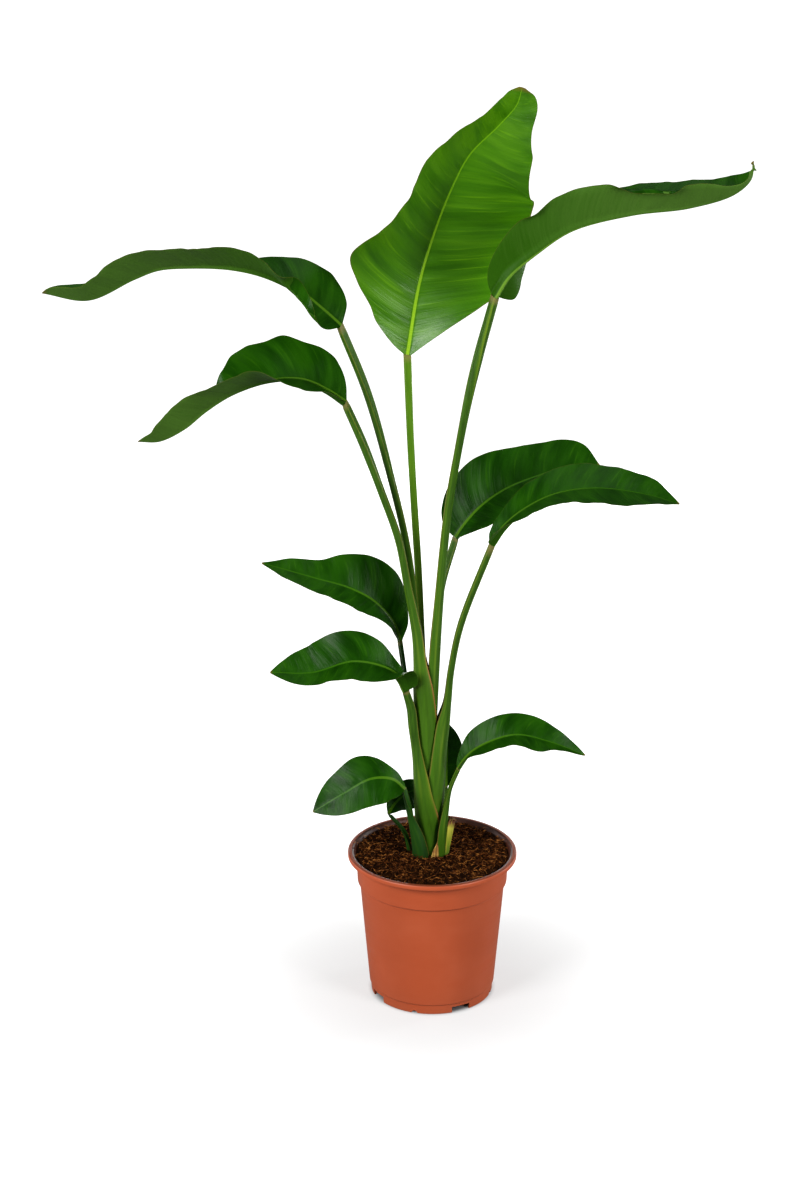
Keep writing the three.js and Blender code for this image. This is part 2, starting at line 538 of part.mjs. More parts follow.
const leaf12 = {
  midrib: [[-62, 12, 268], [-52, 22, 280], [-34, 35, 290], [-8, 49, 292]],
  heads: 1, faces: [-0.2, -0.9, 0.3], roll: [[0, 0], [1, 0]],
  fold: [[0, 18], [0.4, 5], [1, 0]], neck: [4, 5],
  near: { lobe: 0, width: [[0, 2], [0.1, 10], [0.3, 19], [0.55, 24], [0.8, 17], [1, 1]] },
  far: { lobe: 0, width: [[0, 2], [0.1, 8], [0.3, 15], [0.55, 19], [0.8, 14], [1, 1]] },
  wave: [1, 1, 0.1, 0.5], rows: 10, columns: SLIM,
};

// Stalks. back: the way that the round outside of the stalk faces low down.
const TO_LEFT = [-1, 0, 0];
const TO_RIGHT = [1, 0, 0];
const stalk1 = {
  leaf: leaf1, back: [0, 1, 0], perSegment: 2,
  rows: [[-5, 0, 278, 6, 6, 178], [-7, 3, 340, 8, 8, 150], [-12, 5, 450, 7, 9, 118],
    [-16, 7, 536, 7, 9.5, 112],
    [-21, 12, 640, 7.5, 10, 112], [-27, 19, 735, 7.5, 9.8, 112], [-32, 23, 827, 7.5, 9.8, 112]],
};
const stalk2 = {
  leaf: leaf2, back: TO_RIGHT, perSegment: 2,
  rows: [[-5, 0, 266, 10, 10, 178], [-5, 0, 290, 11.6, 11.6, 170], [-4, -2, 340, 12, 14, 150],
    [0, -3, 420, 12, 17, 130],
    [1.5, -5, 500, 15.5, 16, 118], [8, -9, 600, 12.5, 14, 112], [20, -17, 735, 11, 13, 112],
    [41, -28, 866, 10, 12.5, 112],
    [60, -36, 955, 11, 12.5, 112]],
};
const stalk3 = {
  leaf: leaf3, back: TO_LEFT, perSegment: 2,
  rows: [[-5, 0, 254, 14, 14, 178], [-5, 0, 290, 16.6, 16.6, 172], [-10, 2, 340, 14, 18, 150],
    [-17, 5, 440, 10, 13, 120],
    [-21, 6, 536, 9.5, 12, 115], [-36, 6, 667, 9.5, 12, 112], [-60, 7, 774, 9, 11.5, 112],
    [-90, 8, 885, 9.5, 11.5, 112]],
};
const stalk4 = {
  leaf: leaf4, back: TO_LEFT,
  rows: [[-5, 0, 230, 18, 18, 178], [-5, 0, 290, 27, 27, 178], [-8, 0, 350, 32, 33, 168],
    [-10, -1, 417, 32, 33, 155],
    [-14, -4, 469, 27.6, 32, 134], [-18, -5, 505, 19, 25, 122], [-22, -6, 545, 15, 19, 116],
    [-35, -8, 615, 11, 14.5, 112],
    [-48, -10, 685, 9.8, 13, 112], [-72, -11, 756, 9.5, 12.5, 112], [-96, -12, 822, 10, 12.5, 112]],
};
const stalk5 = {
  leaf: leaf5, back: TO_RIGHT, perSegment: 2,
  rows: [[-5, 0, 242, 17, 17, 178], [-5, 0, 290, 21.6, 21.6, 172], [-1, 3, 340, 19, 22, 150],
    [0, 8, 440, 9, 13, 118],
    [4, 17, 530, 8, 10.5, 112], [13, 30, 605, 7.5, 10, 112]],
};
const stalk6 = {
  leaf: leaf6, back: TO_RIGHT, perSegment: 2,
  rows: [[-5, 0, 216, 20, 20, 178], [-5, 0, 250, 26, 26, 178], [-3, 0, 290, 38, 38, 170],
    [5.75, 0, 332, 25.5, 41, 110],
    [10, -1, 376, 21, 36, 108], [14.5, -3, 413, 19, 23, 108], [20, -6, 445, 11.5, 15, 112],
    [25, -11, 495, 9, 12, 112],
    [38, -18, 565, 8.6, 11.5, 112]],
};
const stalk7 = {
  leaf: leaf7, back: TO_LEFT,
  rows: [[-16, 17, 160, 5, 5, 150], [-18, 18, 215, 5.5, 5.5, 140], [-22, 20, 294, 5.5, 6, 120],
    [-26, 20, 360, 5.5, 6, 112],
    [-35, 18, 440, 5.5, 6.5, 112]],
};
const stalk8 = {
  leaf: leaf8, back: TO_LEFT,
  rows: [[-5, 0, 150, 25, 25, 178], [-5, 0, 215, 28, 28, 176], [-6, 0, 247, 31.6, 31.6, 165],
    [-8, 0, 270, 34, 37, 136],
    [-13, 0, 305, 27, 44, 106], [-16.5, -2, 335, 22, 43, 94], [-20, -5, 360, 17, 34, 94],
    [-24, -8, 385, 14, 23, 98],
    [-28, -12, 413, 13, 16, 106], [-31, -15, 439, 11.5, 13.5, 112]],
};
const stalk9 = {
  leaf: leaf9, back: TO_RIGHT, perSegment: 2,
  rows: [[10, -9, 165, 12, 14, 130], [12, -10, 215, 13, 16, 125], [15, -12, 255, 13, 15, 118],
    [19, -13, 287, 9, 10, 112],
    [25, -15, 318, 5.2, 6.5, 112]],
};
const stalk10 = {
  leaf: leaf10, back: [-0.8, -0.6, 0],
  rows: [[-15, -11, 165, 16, 18, 140], [-18, -13, 213, 19, 24, 130], [-22, -16, 240, 16, 20, 122],
    [-29, -20, 270, 10.5, 13, 112],
    [-36, -24, 300, 7, 8.5, 112]],
};
const stalk11 = {
  leaf: leaf11, back: [0.3, 1, 0],
  rows: [[12, 26, 170, 5, 5, 140], [14, 27, 215, 5, 5, 125], [17, 29, 258, 4.5, 5, 112]],
};
const stalk12 = {
  leaf: leaf12, back: [-1, -0.2, 0],
  rows: [[-27, 6, 165, 5.5, 5.5, 140], [-32, 5, 207, 6, 6, 125], [-40, 4, 242, 5.5, 6, 112]],
};
const cutStub = {
  back: TO_RIGHT, torn: 3,
  rows: [[14, -4, 175, 13, 15, 125], [17, -5, 215, 13.5, 16, 118], [21, -6, 238, 12.5, 14, 112],
    [28, -8, 268, 9.5, 12, 108]],
};
const drySheath = {
  back: [0.1, -1, 0],
  rows: [[3, -17, 190, 5, 15, 110], [5, -17.5, 214, 5, 14, 110], [6.5, -17, 228, 4, 9, 110],
    [9, -16, 239, 3, 3, 110]],
};

// Sheaths from the inside out: each one is cut clear of those that it clasps
const NEST = [stalk1, stalk2, stalk3, stalk5, stalk4, stalk6, stalk8];
const BESIDE = [stalk7, stalk11, stalk12, stalk10, stalk9, cutStub, drySheath];

const plant = new THREE.Group();
function place(name, geometry, material) {
  const mesh = new THREE.Mesh(geometry, material);
  mesh.name = name;
  plant.add(mesh);
}

place('pot', potGeometry(), TERRACOTTA_PLASTIC);
place('soil', soilGeometry([stalk8, ...BESIDE]), SOIL_BROWN);

const LEAVES = [leaf1, leaf2, leaf3, leaf4, leaf5, leaf6, leaf7, leaf8, leaf9, leaf10, leaf11, leaf12];
LEAVES.forEach((leaf, k) => {
  const number = String(k + 1).padStart(2, '0');
  place(`leaf_blade_${number}`, bladeGeometry(leaf), k === 0 ? LIGHT_LEAF : DARK_LEAF);
});

const clasped = [];
for (const stalk of [...NEST, ...BESIDE]) {
  let solid = solidOf(stalkGeometry(stalk));
  for (const inner of clasped) solid = solid.subtract(inner);
  clasped.push(solidOf(stalkGeometry(stalk, CLEARANCE)));
  const number = String(LEAVES.indexOf(stalk.leaf) + 1).padStart(2, '0');
  const geometry = geometryOf(solid);
  if (stalk === cutStub) place('cut_stub', geometry, STUB_GREEN);
  else if (stalk === drySheath) place('dry_sheath', geometry, DRY_SHEATH);
  else place(`leaf_stalk_${number}`, geometry, stalk === stalk1 ? BRIGHT_STALK : STALK_GREEN);
}

export default plant;
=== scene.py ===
"""A potted white bird of paradise: twelve leaves on sheathing stalks, in coir soil in a nursery pot."""

import math

import bmesh
import bpy
import numpy as np
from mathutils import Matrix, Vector, noise
from mathutils.kdtree import KDTree


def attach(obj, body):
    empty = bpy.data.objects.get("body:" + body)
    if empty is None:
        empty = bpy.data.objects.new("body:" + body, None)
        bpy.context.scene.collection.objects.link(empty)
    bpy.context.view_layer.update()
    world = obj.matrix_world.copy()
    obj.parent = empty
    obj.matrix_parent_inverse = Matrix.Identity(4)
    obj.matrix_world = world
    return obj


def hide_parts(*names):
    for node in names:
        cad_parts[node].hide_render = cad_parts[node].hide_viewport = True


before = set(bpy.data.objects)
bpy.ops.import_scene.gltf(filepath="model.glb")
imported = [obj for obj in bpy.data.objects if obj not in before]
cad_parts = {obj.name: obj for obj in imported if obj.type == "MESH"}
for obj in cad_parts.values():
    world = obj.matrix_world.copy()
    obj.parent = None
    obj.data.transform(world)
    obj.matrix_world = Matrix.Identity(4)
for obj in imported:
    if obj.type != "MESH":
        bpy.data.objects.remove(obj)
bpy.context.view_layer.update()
scene = bpy.context.scene


# Camera, a little above the plant's middle, looking down on it. Its focal length is known in pixels of the
# frame's height.
SENSOR, FOCAL_PIXELS, FRAME_PIXELS = 36, 2726.6, 1200
camera = bpy.data.objects.new("camera", bpy.data.cameras.new("camera"))
scene.collection.objects.link(camera)
camera.location = (-0.0459, -3.5266, 1.8785)
camera.rotation_euler = (math.radians(70), 0, 0)
camera.data.sensor_width = SENSOR
camera.data.lens = SENSOR * FOCAL_PIXELS / FRAME_PIXELS
scene.camera = camera
scene.view_settings.view_transform = "Standard"
scene.view_settings.look = "Medium High Contrast"


# Studio: a pale floor and backdrop in a dim room, two tall soft lights low beside the camera, a weak one
# overhead, two narrow ones beside the edges and a low one behind. The floor takes the plant's soft shadow,
# and painted shadow in its glow darkens it under and round the pot.
def soft_light(name, place, aim, size, watts, colour=(1, 1, 1)):
    lamp = bpy.data.lights.new(name, "AREA")
    lamp.shape = "RECTANGLE"
    lamp.size, lamp.size_y = size
    lamp.energy = watts
    lamp.color = colour
    stand = bpy.data.objects.new(name, lamp)
    scene.collection.objects.link(stand)
    stand.location = place
    stand.rotation_euler = (Vector(aim) - Vector(place)).to_track_quat("-Z", "Y").to_euler()


soft_light("key", (-2.5, -2.3, 2.0), (0, 0, 0.6), (1.4, 1.9), 140)
soft_light("fill", (2.6, -2.2, 1.7), (0, 0, 0.6), (1.2, 1.9), 95)
soft_light("top", (0.0, 0.2, 3.6), (0, 0, 0.5), (2.8, 2.8), 34)
soft_light("left_edge", (-2.4, 1.1, 0.7), (0, 0, 0.4), (0.5, 1.8), 16)
soft_light("right_edge", (2.4, 1.1, 0.7), (0, 0, 0.4), (0.5, 1.8), 26)
soft_light("back", (0.2, 2.6, 0.35), (0, 0, 0.8), (2.4, 0.6), 30)


def connect(tree, made, inputs):
    """Set a node's inputs, each to a value or to another node's output."""
    for key, value in inputs.items():
        if isinstance(value, bpy.types.NodeSocket):
            tree.links.new(value, made.inputs[key])
        else:
            made.inputs[key].default_value = value


def node(tree, kind, inputs=None, **settings):
    """A new node with its settings and inputs."""
    made = tree.nodes.new(kind)
    for key, value in settings.items():
        setattr(made, key, value)
    connect(tree, made, inputs or {})
    return made


def math_node(tree, operation, first, second=0.0, third=0.0, clamp=False):
    inputs = {0: first, 1: second, 2: third}
    return node(tree, "ShaderNodeMath", inputs, operation=operation, use_clamp=clamp).outputs[0]


def times(tree, first, second):
    return math_node(tree, "MULTIPLY", first, second)


def shader(name):
    """A new material with its node tree, its main shader and the place on the object."""
    material = bpy.data.materials.new(name)
    material.use_nodes = True
    tree = material.node_tree
    return material, tree, tree.nodes["Principled BSDF"], node(tree, "ShaderNodeTexCoord").outputs["Object"]


room = bpy.data.worlds.new("room")
scene.world = room
room.use_nodes = True
room_tree = room.node_tree
lit = room_tree.nodes["Background"]
connect(room_tree, lit, {"Color": (1, 1, 1, 1), "Strength": 0.12})
backdrop = node(room_tree, "ShaderNodeBackground", {"Color": (1, 1, 1, 1), "Strength": 0.95})
seen = node(room_tree, "ShaderNodeLightPath").outputs["Is Camera Ray"]
either = node(room_tree, "ShaderNodeMixShader", {0: seen, 1: lit.outputs[0], 2: backdrop.outputs[0]})
connect(room_tree, room_tree.nodes["World Output"], {"Surface": either.outputs[0]})

# The floor looks nearly white by itself, with painted shadow under and round the pot; it lights only the
# camera's view
FLOOR_REACH = 30
PAINTED_SHADOW_UNDER_POT = {"From Min": 0.078, "From Max": 0.094, "To Min": 0.0, "To Max": 1.0}
PAINTED_SHADE_ROUND_POT = {"From Min": 0.11, "From Max": 0.55, "To Min": 0.50, "To Max": 0.95}
floor_mesh = bpy.data.meshes.new("floor")
floor_corners = [(x * FLOOR_REACH, y * FLOOR_REACH, 0) for x, y in ((-1, -1), (1, -1), (1, 1), (-1, 1))]
floor_mesh.from_pydata(floor_corners, [], [(0, 1, 2, 3)])
floor = bpy.data.objects.new("floor", floor_mesh)
scene.collection.objects.link(floor)
floor_paint, tree, main, place = shader("pale_floor")
away = node(tree, "ShaderNodeVectorMath", {0: place}, operation="LENGTH").outputs["Value"]
# Painted shadow: the glow is nothing under the pot and grows to nearly white well away from it.
near, far = (
    node(tree, "ShaderNodeMapRange", {"Value": away, **span},
         interpolation_type="SMOOTHSTEP").outputs["Result"]
    for span in (PAINTED_SHADOW_UNDER_POT, PAINTED_SHADE_ROUND_POT))
seen = node(tree, "ShaderNodeLightPath").outputs["Is Camera Ray"]
connect(tree, main, {
    "Base Color": (0.25, 0.25, 0.25, 1), "Roughness": 0.8, "Specular IOR Level": 0.0,
    "Emission Color": (1, 1, 1, 1), "Emission Strength": times(tree, times(tree, near, far), seen)})
floor_mesh.materials.append(floor_paint)


# Nursery pot: one thin-walled injection moulding in terracotta-coloured polypropylene, satin, with a
# turned-down lip, a collar that the stacking step ends, and a foot ring with drain openings.
MM = 0.001
POT_TURNS, CORNER = 168, 1.3


def rounded(profile, radius, steps=4):
    """The profile with each corner rounded off, in mm."""
    points = [profile[0]]
    for before, corner, after in zip(profile, profile[1:], profile[2:]):
        a, b, c = (np.array(p, float) for p in (before, corner, after))
        reach = min(radius, 0.45 * np.linalg.norm(a - b), 0.45 * np.linalg.norm(c - b))
        start = b + (a - b) / np.linalg.norm(a - b) * reach
        end = b + (c - b) / np.linalg.norm(c - b) * reach
        for k in range(steps + 1):
            t = k / steps
            points.append(tuple((1 - t) ** 2 * start + 2 * t * (1 - t) * b + t * t * end))
    return points + [profile[-1]]


def turned(name, profile, turns):
    """A closed body of revolution whose profile, in mm, starts and ends on the axis."""
    verts = [(0, 0, profile[0][1] * MM)]
    for r, z in profile[1:-1]:
        for k in range(turns):
            angle = 2 * math.pi * k / turns
            verts.append((r * MM * math.cos(angle), r * MM * math.sin(angle), z * MM))
    verts.append((0, 0, profile[-1][1] * MM))
    faces = []
    rings = len(profile) - 2
    for k in range(turns):
        n = (k + 1) % turns
        faces.append((0, 1 + n, 1 + k))
        for i in range(rings - 1):
            a = 1 + i * turns
            faces.append((a + k, a + n, a + turns + n, a + turns + k))
        last = 1 + (rings - 1) * turns
        faces.append((last + k, last + n, len(verts) - 1))
    mesh = bpy.data.meshes.new(name)
    mesh.from_pydata(verts, [], faces)
    return mesh


def finished(name, mesh, material, sharp=None):
    """A piece in the scene: smooth shaded, with its edges kept where they are sharper than the angle."""
    mesh.materials.clear()
    mesh.materials.append(material)
    mesh.shade_smooth()
    if sharp:
        mesh.set_sharp_from_angle(angle=math.radians(sharp))
    piece = bpy.data.objects.new(name, mesh)
    scene.collection.objects.link(piece)
    return piece


def fade(tree, value, slope, start):
    """A straight change with a value, kept between 0 and 1."""
    return math_node(tree, "MULTIPLY_ADD", value, slope, start, clamp=True)


def ramp(tree, value, stops):
    """A colour ramp over a value, from [position, colour] stops."""
    made = node(tree, "ShaderNodeValToRGB", {"Fac": value})
    elements = made.color_ramp.elements
    while len(elements) < len(stops):
        elements.new(0.5)
    for element, (position, colour) in zip(elements, stops):
        element.position = position
        element.color = (*colour, 1)
    return made.outputs["Color"]


def blend(tree, amount, first, second):
    """Two colours mixed by an amount from 0 to 1."""
    first, second = ((*colour, 1) if isinstance(colour, tuple) else colour for colour in (first, second))
    return node(tree, "ShaderNodeMix", {0: amount, 6: first, 7: second}, data_type="RGBA").outputs[2]


def clouded(tree, place, scale, detail=2.0, roughness=0.5):
    """Noise from 0 to 1 over a place."""
    return node(tree, "ShaderNodeTexNoise", {
        "Vector": place, "Scale": scale, "Detail": detail, "Roughness": roughness}).outputs["Fac"]


def drawn_out(tree, place, upright):
    """The place with its height scaled, so that a pattern runs lengthwise or lies in layers."""
    return node(tree, "ShaderNodeMapping", {"Vector": place, "Scale": (1, 1, upright)}).outputs["Vector"]


def attribute(tree, name):
    return node(tree, "ShaderNodeAttribute", attribute_name=name).outputs["Fac"]


def bumped(tree, main, height, distance, strength=1.0):
    made = node(tree, "ShaderNodeBump", {"Height": height, "Distance": distance, "Strength": strength})
    connect(tree, main, {"Normal": made.outputs["Normal"]})


pot_plastic, tree, main, place = shader("terracotta_plastic")
height = node(tree, "ShaderNodeSeparateXYZ", {"Vector": place}).outputs["Z"]
normal = node(tree, "ShaderNodeNewGeometry").outputs["Normal"]
upward = node(tree, "ShaderNodeSeparateXYZ", {"Vector": normal}).outputs["Z"]
outward = node(tree, "ShaderNodeVectorMath", {0: place, 1: (1, 1, 0)}, operation="MULTIPLY").outputs[0]
bearing = node(tree, "ShaderNodeVectorMath", {0: normal, 1: outward},
               operation="DOT_PRODUCT").outputs["Value"]
cloud = clouded(tree, place, 14.0, 4.0)
flow = clouded(tree, drawn_out(tree, place, 9), 10.0, 3.0)
grain = clouded(tree, place, 900.0)
body = ramp(tree, cloud, [(0.3, (0.385, 0.076, 0.024)), (0.55, (0.405, 0.083, 0.028)),
                          (0.75, (0.43, 0.095, 0.036))])
body = blend(tree, times(tree, flow, 0.25), body, (0.48, 0.115, 0.045))
dust = times(tree, fade(tree, height, -22.0, 1.0), times(tree, cloud, 0.35))
body = blend(tree, dust, body, (0.36, 0.13, 0.07))
# Painted shade: the upward faces at the top of the lip are darkened to a deep brown.
painted_rim_shade = times(tree, fade(tree, upward, 2.0, -0.7), fade(tree, height, 900.0, -193.0))
body = blend(tree, times(tree, painted_rim_shade, 0.72), body, (0.085, 0.020, 0.007))
# Painted shade: every inward-facing wall of the pot is darkened nearly to black.
painted_inner_shade = fade(tree, bearing, -60.0, -0.6)
body = blend(tree, times(tree, painted_inner_shade, 0.93), body, (0.030, 0.008, 0.003))
connect(tree, main, {
    "Base Color": body, "Specular IOR Level": 0.5,
    "Roughness": ramp(tree, flow, [(0.3, (0.36,) * 3), (0.7, (0.47,) * 3)])})
bumped(tree, main, grain, 0.00006, 0.6)

pot_profile = [
    (0, 0), (14, 0), (15, 8), (82.5, 8), (84, 0), (87, 0), (88, 14), (89.6, 15.5),
    (103.2, 171), (106.4, 172.5), (108, 206), (111.5, 215), (118, 215), (118, 210), (120, 210),
    (120, 215.7), (118.8, 217), (114, 217), (112, 215.6), (106.6, 208), (104.4, 172), (101, 169.5),
    (87.4, 15), (84, 10.2), (0, 10.2),
]
pot_mesh = turned("nursery_pot", rounded(pot_profile, CORNER), POT_TURNS)


# The foot's openings: broad slots every quarter turn with a small round one between each two, and a ring of
# round drain holes through the bottom. One tree places each kind round the axis and cuts it out.
def socket_id(tree, name):
    return next(s.identifier for s in tree.interface.items_tree if s.name == name and s.in_out == "INPUT")


def new_tree(name, inputs):
    """A geometry tree with a mesh in, a mesh out, and named inputs with their values."""
    tree = bpy.data.node_groups.new(name, "GeometryNodeTree")
    tree.interface.new_socket(name="Geometry", in_out="INPUT", socket_type="NodeSocketGeometry")
    for label, kind in inputs:
        tree.interface.new_socket(name=label, in_out="INPUT", socket_type="NodeSocket" + kind)
    tree.interface.new_socket(name="Geometry", in_out="OUTPUT", socket_type="NodeSocketGeometry")
    return tree, tree.nodes.new("NodeGroupInput").outputs, tree.nodes.new("NodeGroupOutput").inputs


def grown(name, source, tree, values):
    """The plain mesh that a geometry tree makes from a source mesh."""
    carrier = bpy.data.objects.new(name + "_source", source)
    scene.collection.objects.link(carrier)
    modifier = carrier.modifiers.new("grow", "NODES")
    modifier.node_group = tree
    for label, value in values.items():
        modifier[socket_id(tree, label)] = value
    bpy.context.view_layer.update()
    mesh = bpy.data.meshes.new_from_object(carrier.evaluated_get(bpy.context.evaluated_depsgraph_get()))
    mesh.name = name
    bpy.data.objects.remove(carrier)
    return mesh


openings, given, result = new_tree("foot_openings", [
    ("Count", "Int"), ("First angle", "Float"), ("Circle", "Float"), ("Height", "Float"), ("Size", "Vector"),
    ("Rounding", "Float"), ("Upright", "Float"), ("Material", "Material")])
start = node(openings, "GeometryNodeMeshLine", {"Count": given["Count"], "Offset": (0, 0, 0)})
turn = math_node(openings, "DIVIDE", 2 * math.pi, given["Count"])
order = node(openings, "GeometryNodeInputIndex").outputs["Index"]
angle = math_node(openings, "MULTIPLY_ADD", order, turn, given["First angle"])
east = math_node(openings, "COSINE", angle)
north = math_node(openings, "SINE", angle)
spot = node(openings, "ShaderNodeCombineXYZ", {
    "X": times(openings, east, given["Circle"]),
    "Y": times(openings, north, given["Circle"]), "Z": given["Height"]}).outputs[0]
ring = node(openings, "GeometryNodeSetPosition", {"Geometry": start.outputs[0], "Position": spot}).outputs[0]
drill = node(openings, "GeometryNodeMeshCylinder",
             {"Vertices": 28, "Radius": 0.5, "Depth": 1.0}).outputs["Mesh"]
slot_cutter = node(openings, "GeometryNodeMeshCube", {"Size": (1, 1, 1)}).outputs["Mesh"]
cutter = node(openings, "GeometryNodeSwitch", {0: given["Rounding"], 1: slot_cutter, 2: drill}).outputs[0]
facing = node(openings, "ShaderNodeCombineXYZ", {"Y": given["Upright"], "Z": angle}).outputs[0]
placed = node(openings, "GeometryNodeInstanceOnPoints", {
    "Points": ring, "Instance": cutter, "Rotation": facing, "Scale": given["Size"]}).outputs[0]
cutters = node(openings, "GeometryNodeRealizeInstances", {"Geometry": placed}).outputs[0]
cut = node(openings, "GeometryNodeMeshBoolean", {0: given["Geometry"], 1: cutters}, operation="DIFFERENCE",
           solver="EXACT")
painted = node(openings, "GeometryNodeSetMaterial",
               {"Geometry": cut.outputs[0], "Material": given["Material"]})
openings.links.new(painted.outputs[0], result[0])

FOOT_CIRCLE, DRAIN_CIRCLE = 0.087, 0.064
FIRST_SLOT, FIRST_GAP = math.radians(-62), math.radians(-17)
slots = {"Count": 4, "First angle": FIRST_SLOT, "Circle": FOOT_CIRCLE, "Height": 0.0,
         "Size": (0.016, 0.028, 0.019)}
gaps = {"Count": 4, "First angle": FIRST_GAP, "Circle": FOOT_CIRCLE, "Height": 0.0,
        "Size": (0.009, 0.009, 0.016),
        "Rounding": 1.0, "Upright": math.pi / 2}
drains = {"Count": 8, "First angle": FIRST_SLOT, "Circle": DRAIN_CIRCLE, "Height": 0.009,
          "Size": (0.010, 0.010, 0.009), "Rounding": 1.0}
for values in (slots, gaps, drains):
    pot_mesh = grown("nursery_pot", pot_mesh, openings, {
        "Rounding": 0.0, "Upright": 0.0, **values, "Material": pot_plastic})
pot = finished("nursery_pot", pot_mesh, pot_plastic, sharp=32)
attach(pot, "root")
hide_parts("pot")


# Potting soil: damp coir and peat, filled to just under the rim, lightly heaped round the stems. The body is
# one closed lump with a crumbly top; loose crumbs and curly coir fibres lie on it.
SOIL_LEVEL, SOIL_RADIUS, LOOSE_REACH = 212.5, 108.3, 106.5
SOIL_RINGS, SOIL_TURNS = 64, 210
MOUND, MOUND_RADIUS, LUMP = 1.5, 48, 1.8
CRUMB_SIZES = ((1.5, 6), (0.9, 2.4), (0.5, 1.1))

potting_soil, tree, main, place = shader("coir_soil")
clods = clouded(tree, place, 120.0, 6.0, 0.7)
strands = node(tree, "ShaderNodeTexVoronoi", {"Vector": place, "Scale": 260.0},
               feature="DISTANCE_TO_EDGE").outputs[0]
patches = clouded(tree, place, 35.0, 3.0)
earth = ramp(tree, clods, [
    (0.36, (0.004, 0.0012, 0.0004)), (0.52, (0.022, 0.0075, 0.0018)), (0.70, (0.075, 0.028, 0.007))])
earth = blend(tree, times(tree, patches, 0.5), earth, (0.012, 0.004, 0.001))
connect(tree, main, {"Base Color": earth, "Roughness": 0.92, "Specular IOR Level": 0.05})
bumped(tree, main, math_node(tree, "ADD", clods, strands), 0.0012)


def soil_height(x, y):
    """Height of the soil in mm, as the solid has it."""
    mound = MOUND * math.exp(-((math.hypot(x, y) / MOUND_RADIUS) ** 2))
    lumps = math.sin(x * 0.09 + 1.3) * math.cos(y * 0.11 - 0.4) + 0.6 * math.sin((x - y) * 0.17 + 2.1)
    return SOIL_LEVEL + mound + LUMP * lumps


soil_side = [(0, 10.5), (83.6, 10.5), (87, 15.6), (100.6, 169.5), (104, 172.4), (106.2, 208),
             (SOIL_RADIUS, 211)]
soil_top = [(r, SOIL_LEVEL) for r in np.linspace(SOIL_RADIUS, 0.0, SOIL_RINGS)[1:]]
soil_mesh = turned("potting_soil", soil_side + soil_top, SOIL_TURNS)
top_flag = soil_mesh.attributes.new("soil_top", "FLOAT", "POINT")
for vertex in soil_mesh.vertices:
    x, y, z = (c / MM for c in vertex.co)
    if z < SOIL_LEVEL - 1:
        continue
    at = Vector((x, y, 0))
    crumb = sum(height * noise.noise(at / breadth) for height, breadth in CRUMB_SIZES)
    vertex.co.z = (soil_height(x, y) + crumb) * MM
    top_flag.data[vertex.index].value = 1.0 if math.hypot(x, y) < LOOSE_REACH else 0.0
soil = finished("potting_soil", soil_mesh, potting_soil)
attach(soil, "root")
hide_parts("soil")

scatter, given, result = new_tree("soil_scatter", [
    ("Density", "Float"), ("Smallest", "Vector"), ("Largest", "Vector"), ("Wander", "Float"), ("Seed", "Int"),
    ("Tilt", "Float"), ("Fibres", "Bool"), ("Material", "Material")])
top_only = node(scatter, "GeometryNodeInputNamedAttribute", {"Name": "soil_top"},
                data_type="FLOAT").outputs[0]
points = node(scatter, "GeometryNodeDistributePointsOnFaces", {
    "Mesh": given["Geometry"], "Density": given["Density"], "Selection": top_only, "Seed": given["Seed"]})
chance = node(scatter, "FunctionNodeRandomValue", {
    0: (0, 0, 0), 1: (1, 1, 1), "Seed": given["Seed"]}, data_type="FLOAT_VECTOR").outputs[0]
swing = node(scatter, "ShaderNodeCombineXYZ", {"X": given["Tilt"], "Y": given["Tilt"], "Z": 6.283}).outputs[0]
facing = node(scatter, "ShaderNodeVectorMath", {0: chance, 1: swing}, operation="MULTIPLY").outputs[0]
size = node(scatter, "FunctionNodeRandomValue", {
    0: given["Smallest"], 1: given["Largest"], "Seed": given["Seed"]}, data_type="FLOAT_VECTOR").outputs[0]
crumb = node(scatter, "GeometryNodeMeshIcoSphere", {"Radius": 1.0, "Subdivisions": 1}).outputs["Mesh"]
bow = node(scatter, "GeometryNodeCurvePrimitiveBezierSegment", {
    "Resolution": 10, "Start": (-0.5, 0, 0), "Start Handle": (-0.35, 0.75, 0.06),
    "End Handle": (0.55, 0.6, 0.3),
    "End": (0.28, -0.3, 0.1)}).outputs["Curve"]
round_wire = node(scatter, "GeometryNodeCurvePrimitiveCircle",
                  {"Resolution": 4, "Radius": 0.023}).outputs["Curve"]
fibre = node(scatter, "GeometryNodeCurveToMesh", {
    "Curve": bow, "Profile Curve": round_wire, "Fill Caps": True}).outputs[0]
kind = node(scatter, "GeometryNodeSwitch", {0: given["Fibres"], 1: crumb, 2: fibre}).outputs[0]
laid = node(scatter, "GeometryNodeInstanceOnPoints", {
    "Points": points.outputs[0], "Instance": kind, "Rotation": facing, "Scale": size}).outputs[0]
real = node(scatter, "GeometryNodeRealizeInstances", {"Geometry": laid}).outputs[0]
drift = node(scatter, "ShaderNodeTexNoise", {"Scale": 230.0, "Detail": 2.0}).outputs["Color"]
centred = node(scatter, "ShaderNodeVectorMath", {0: drift, 1: (0.5, 0.5, 0.42)},
               operation="SUBTRACT").outputs[0]
push = node(scatter, "ShaderNodeVectorMath", {0: centred, "Scale": given["Wander"]},
            operation="SCALE").outputs[0]
rough = node(scatter, "GeometryNodeSetPosition", {"Geometry": real, "Offset": push}).outputs[0]
painted = node(scatter, "GeometryNodeSetMaterial", {"Geometry": rough, "Material": given["Material"]})
scatter.links.new(painted.outputs[0], result[0])

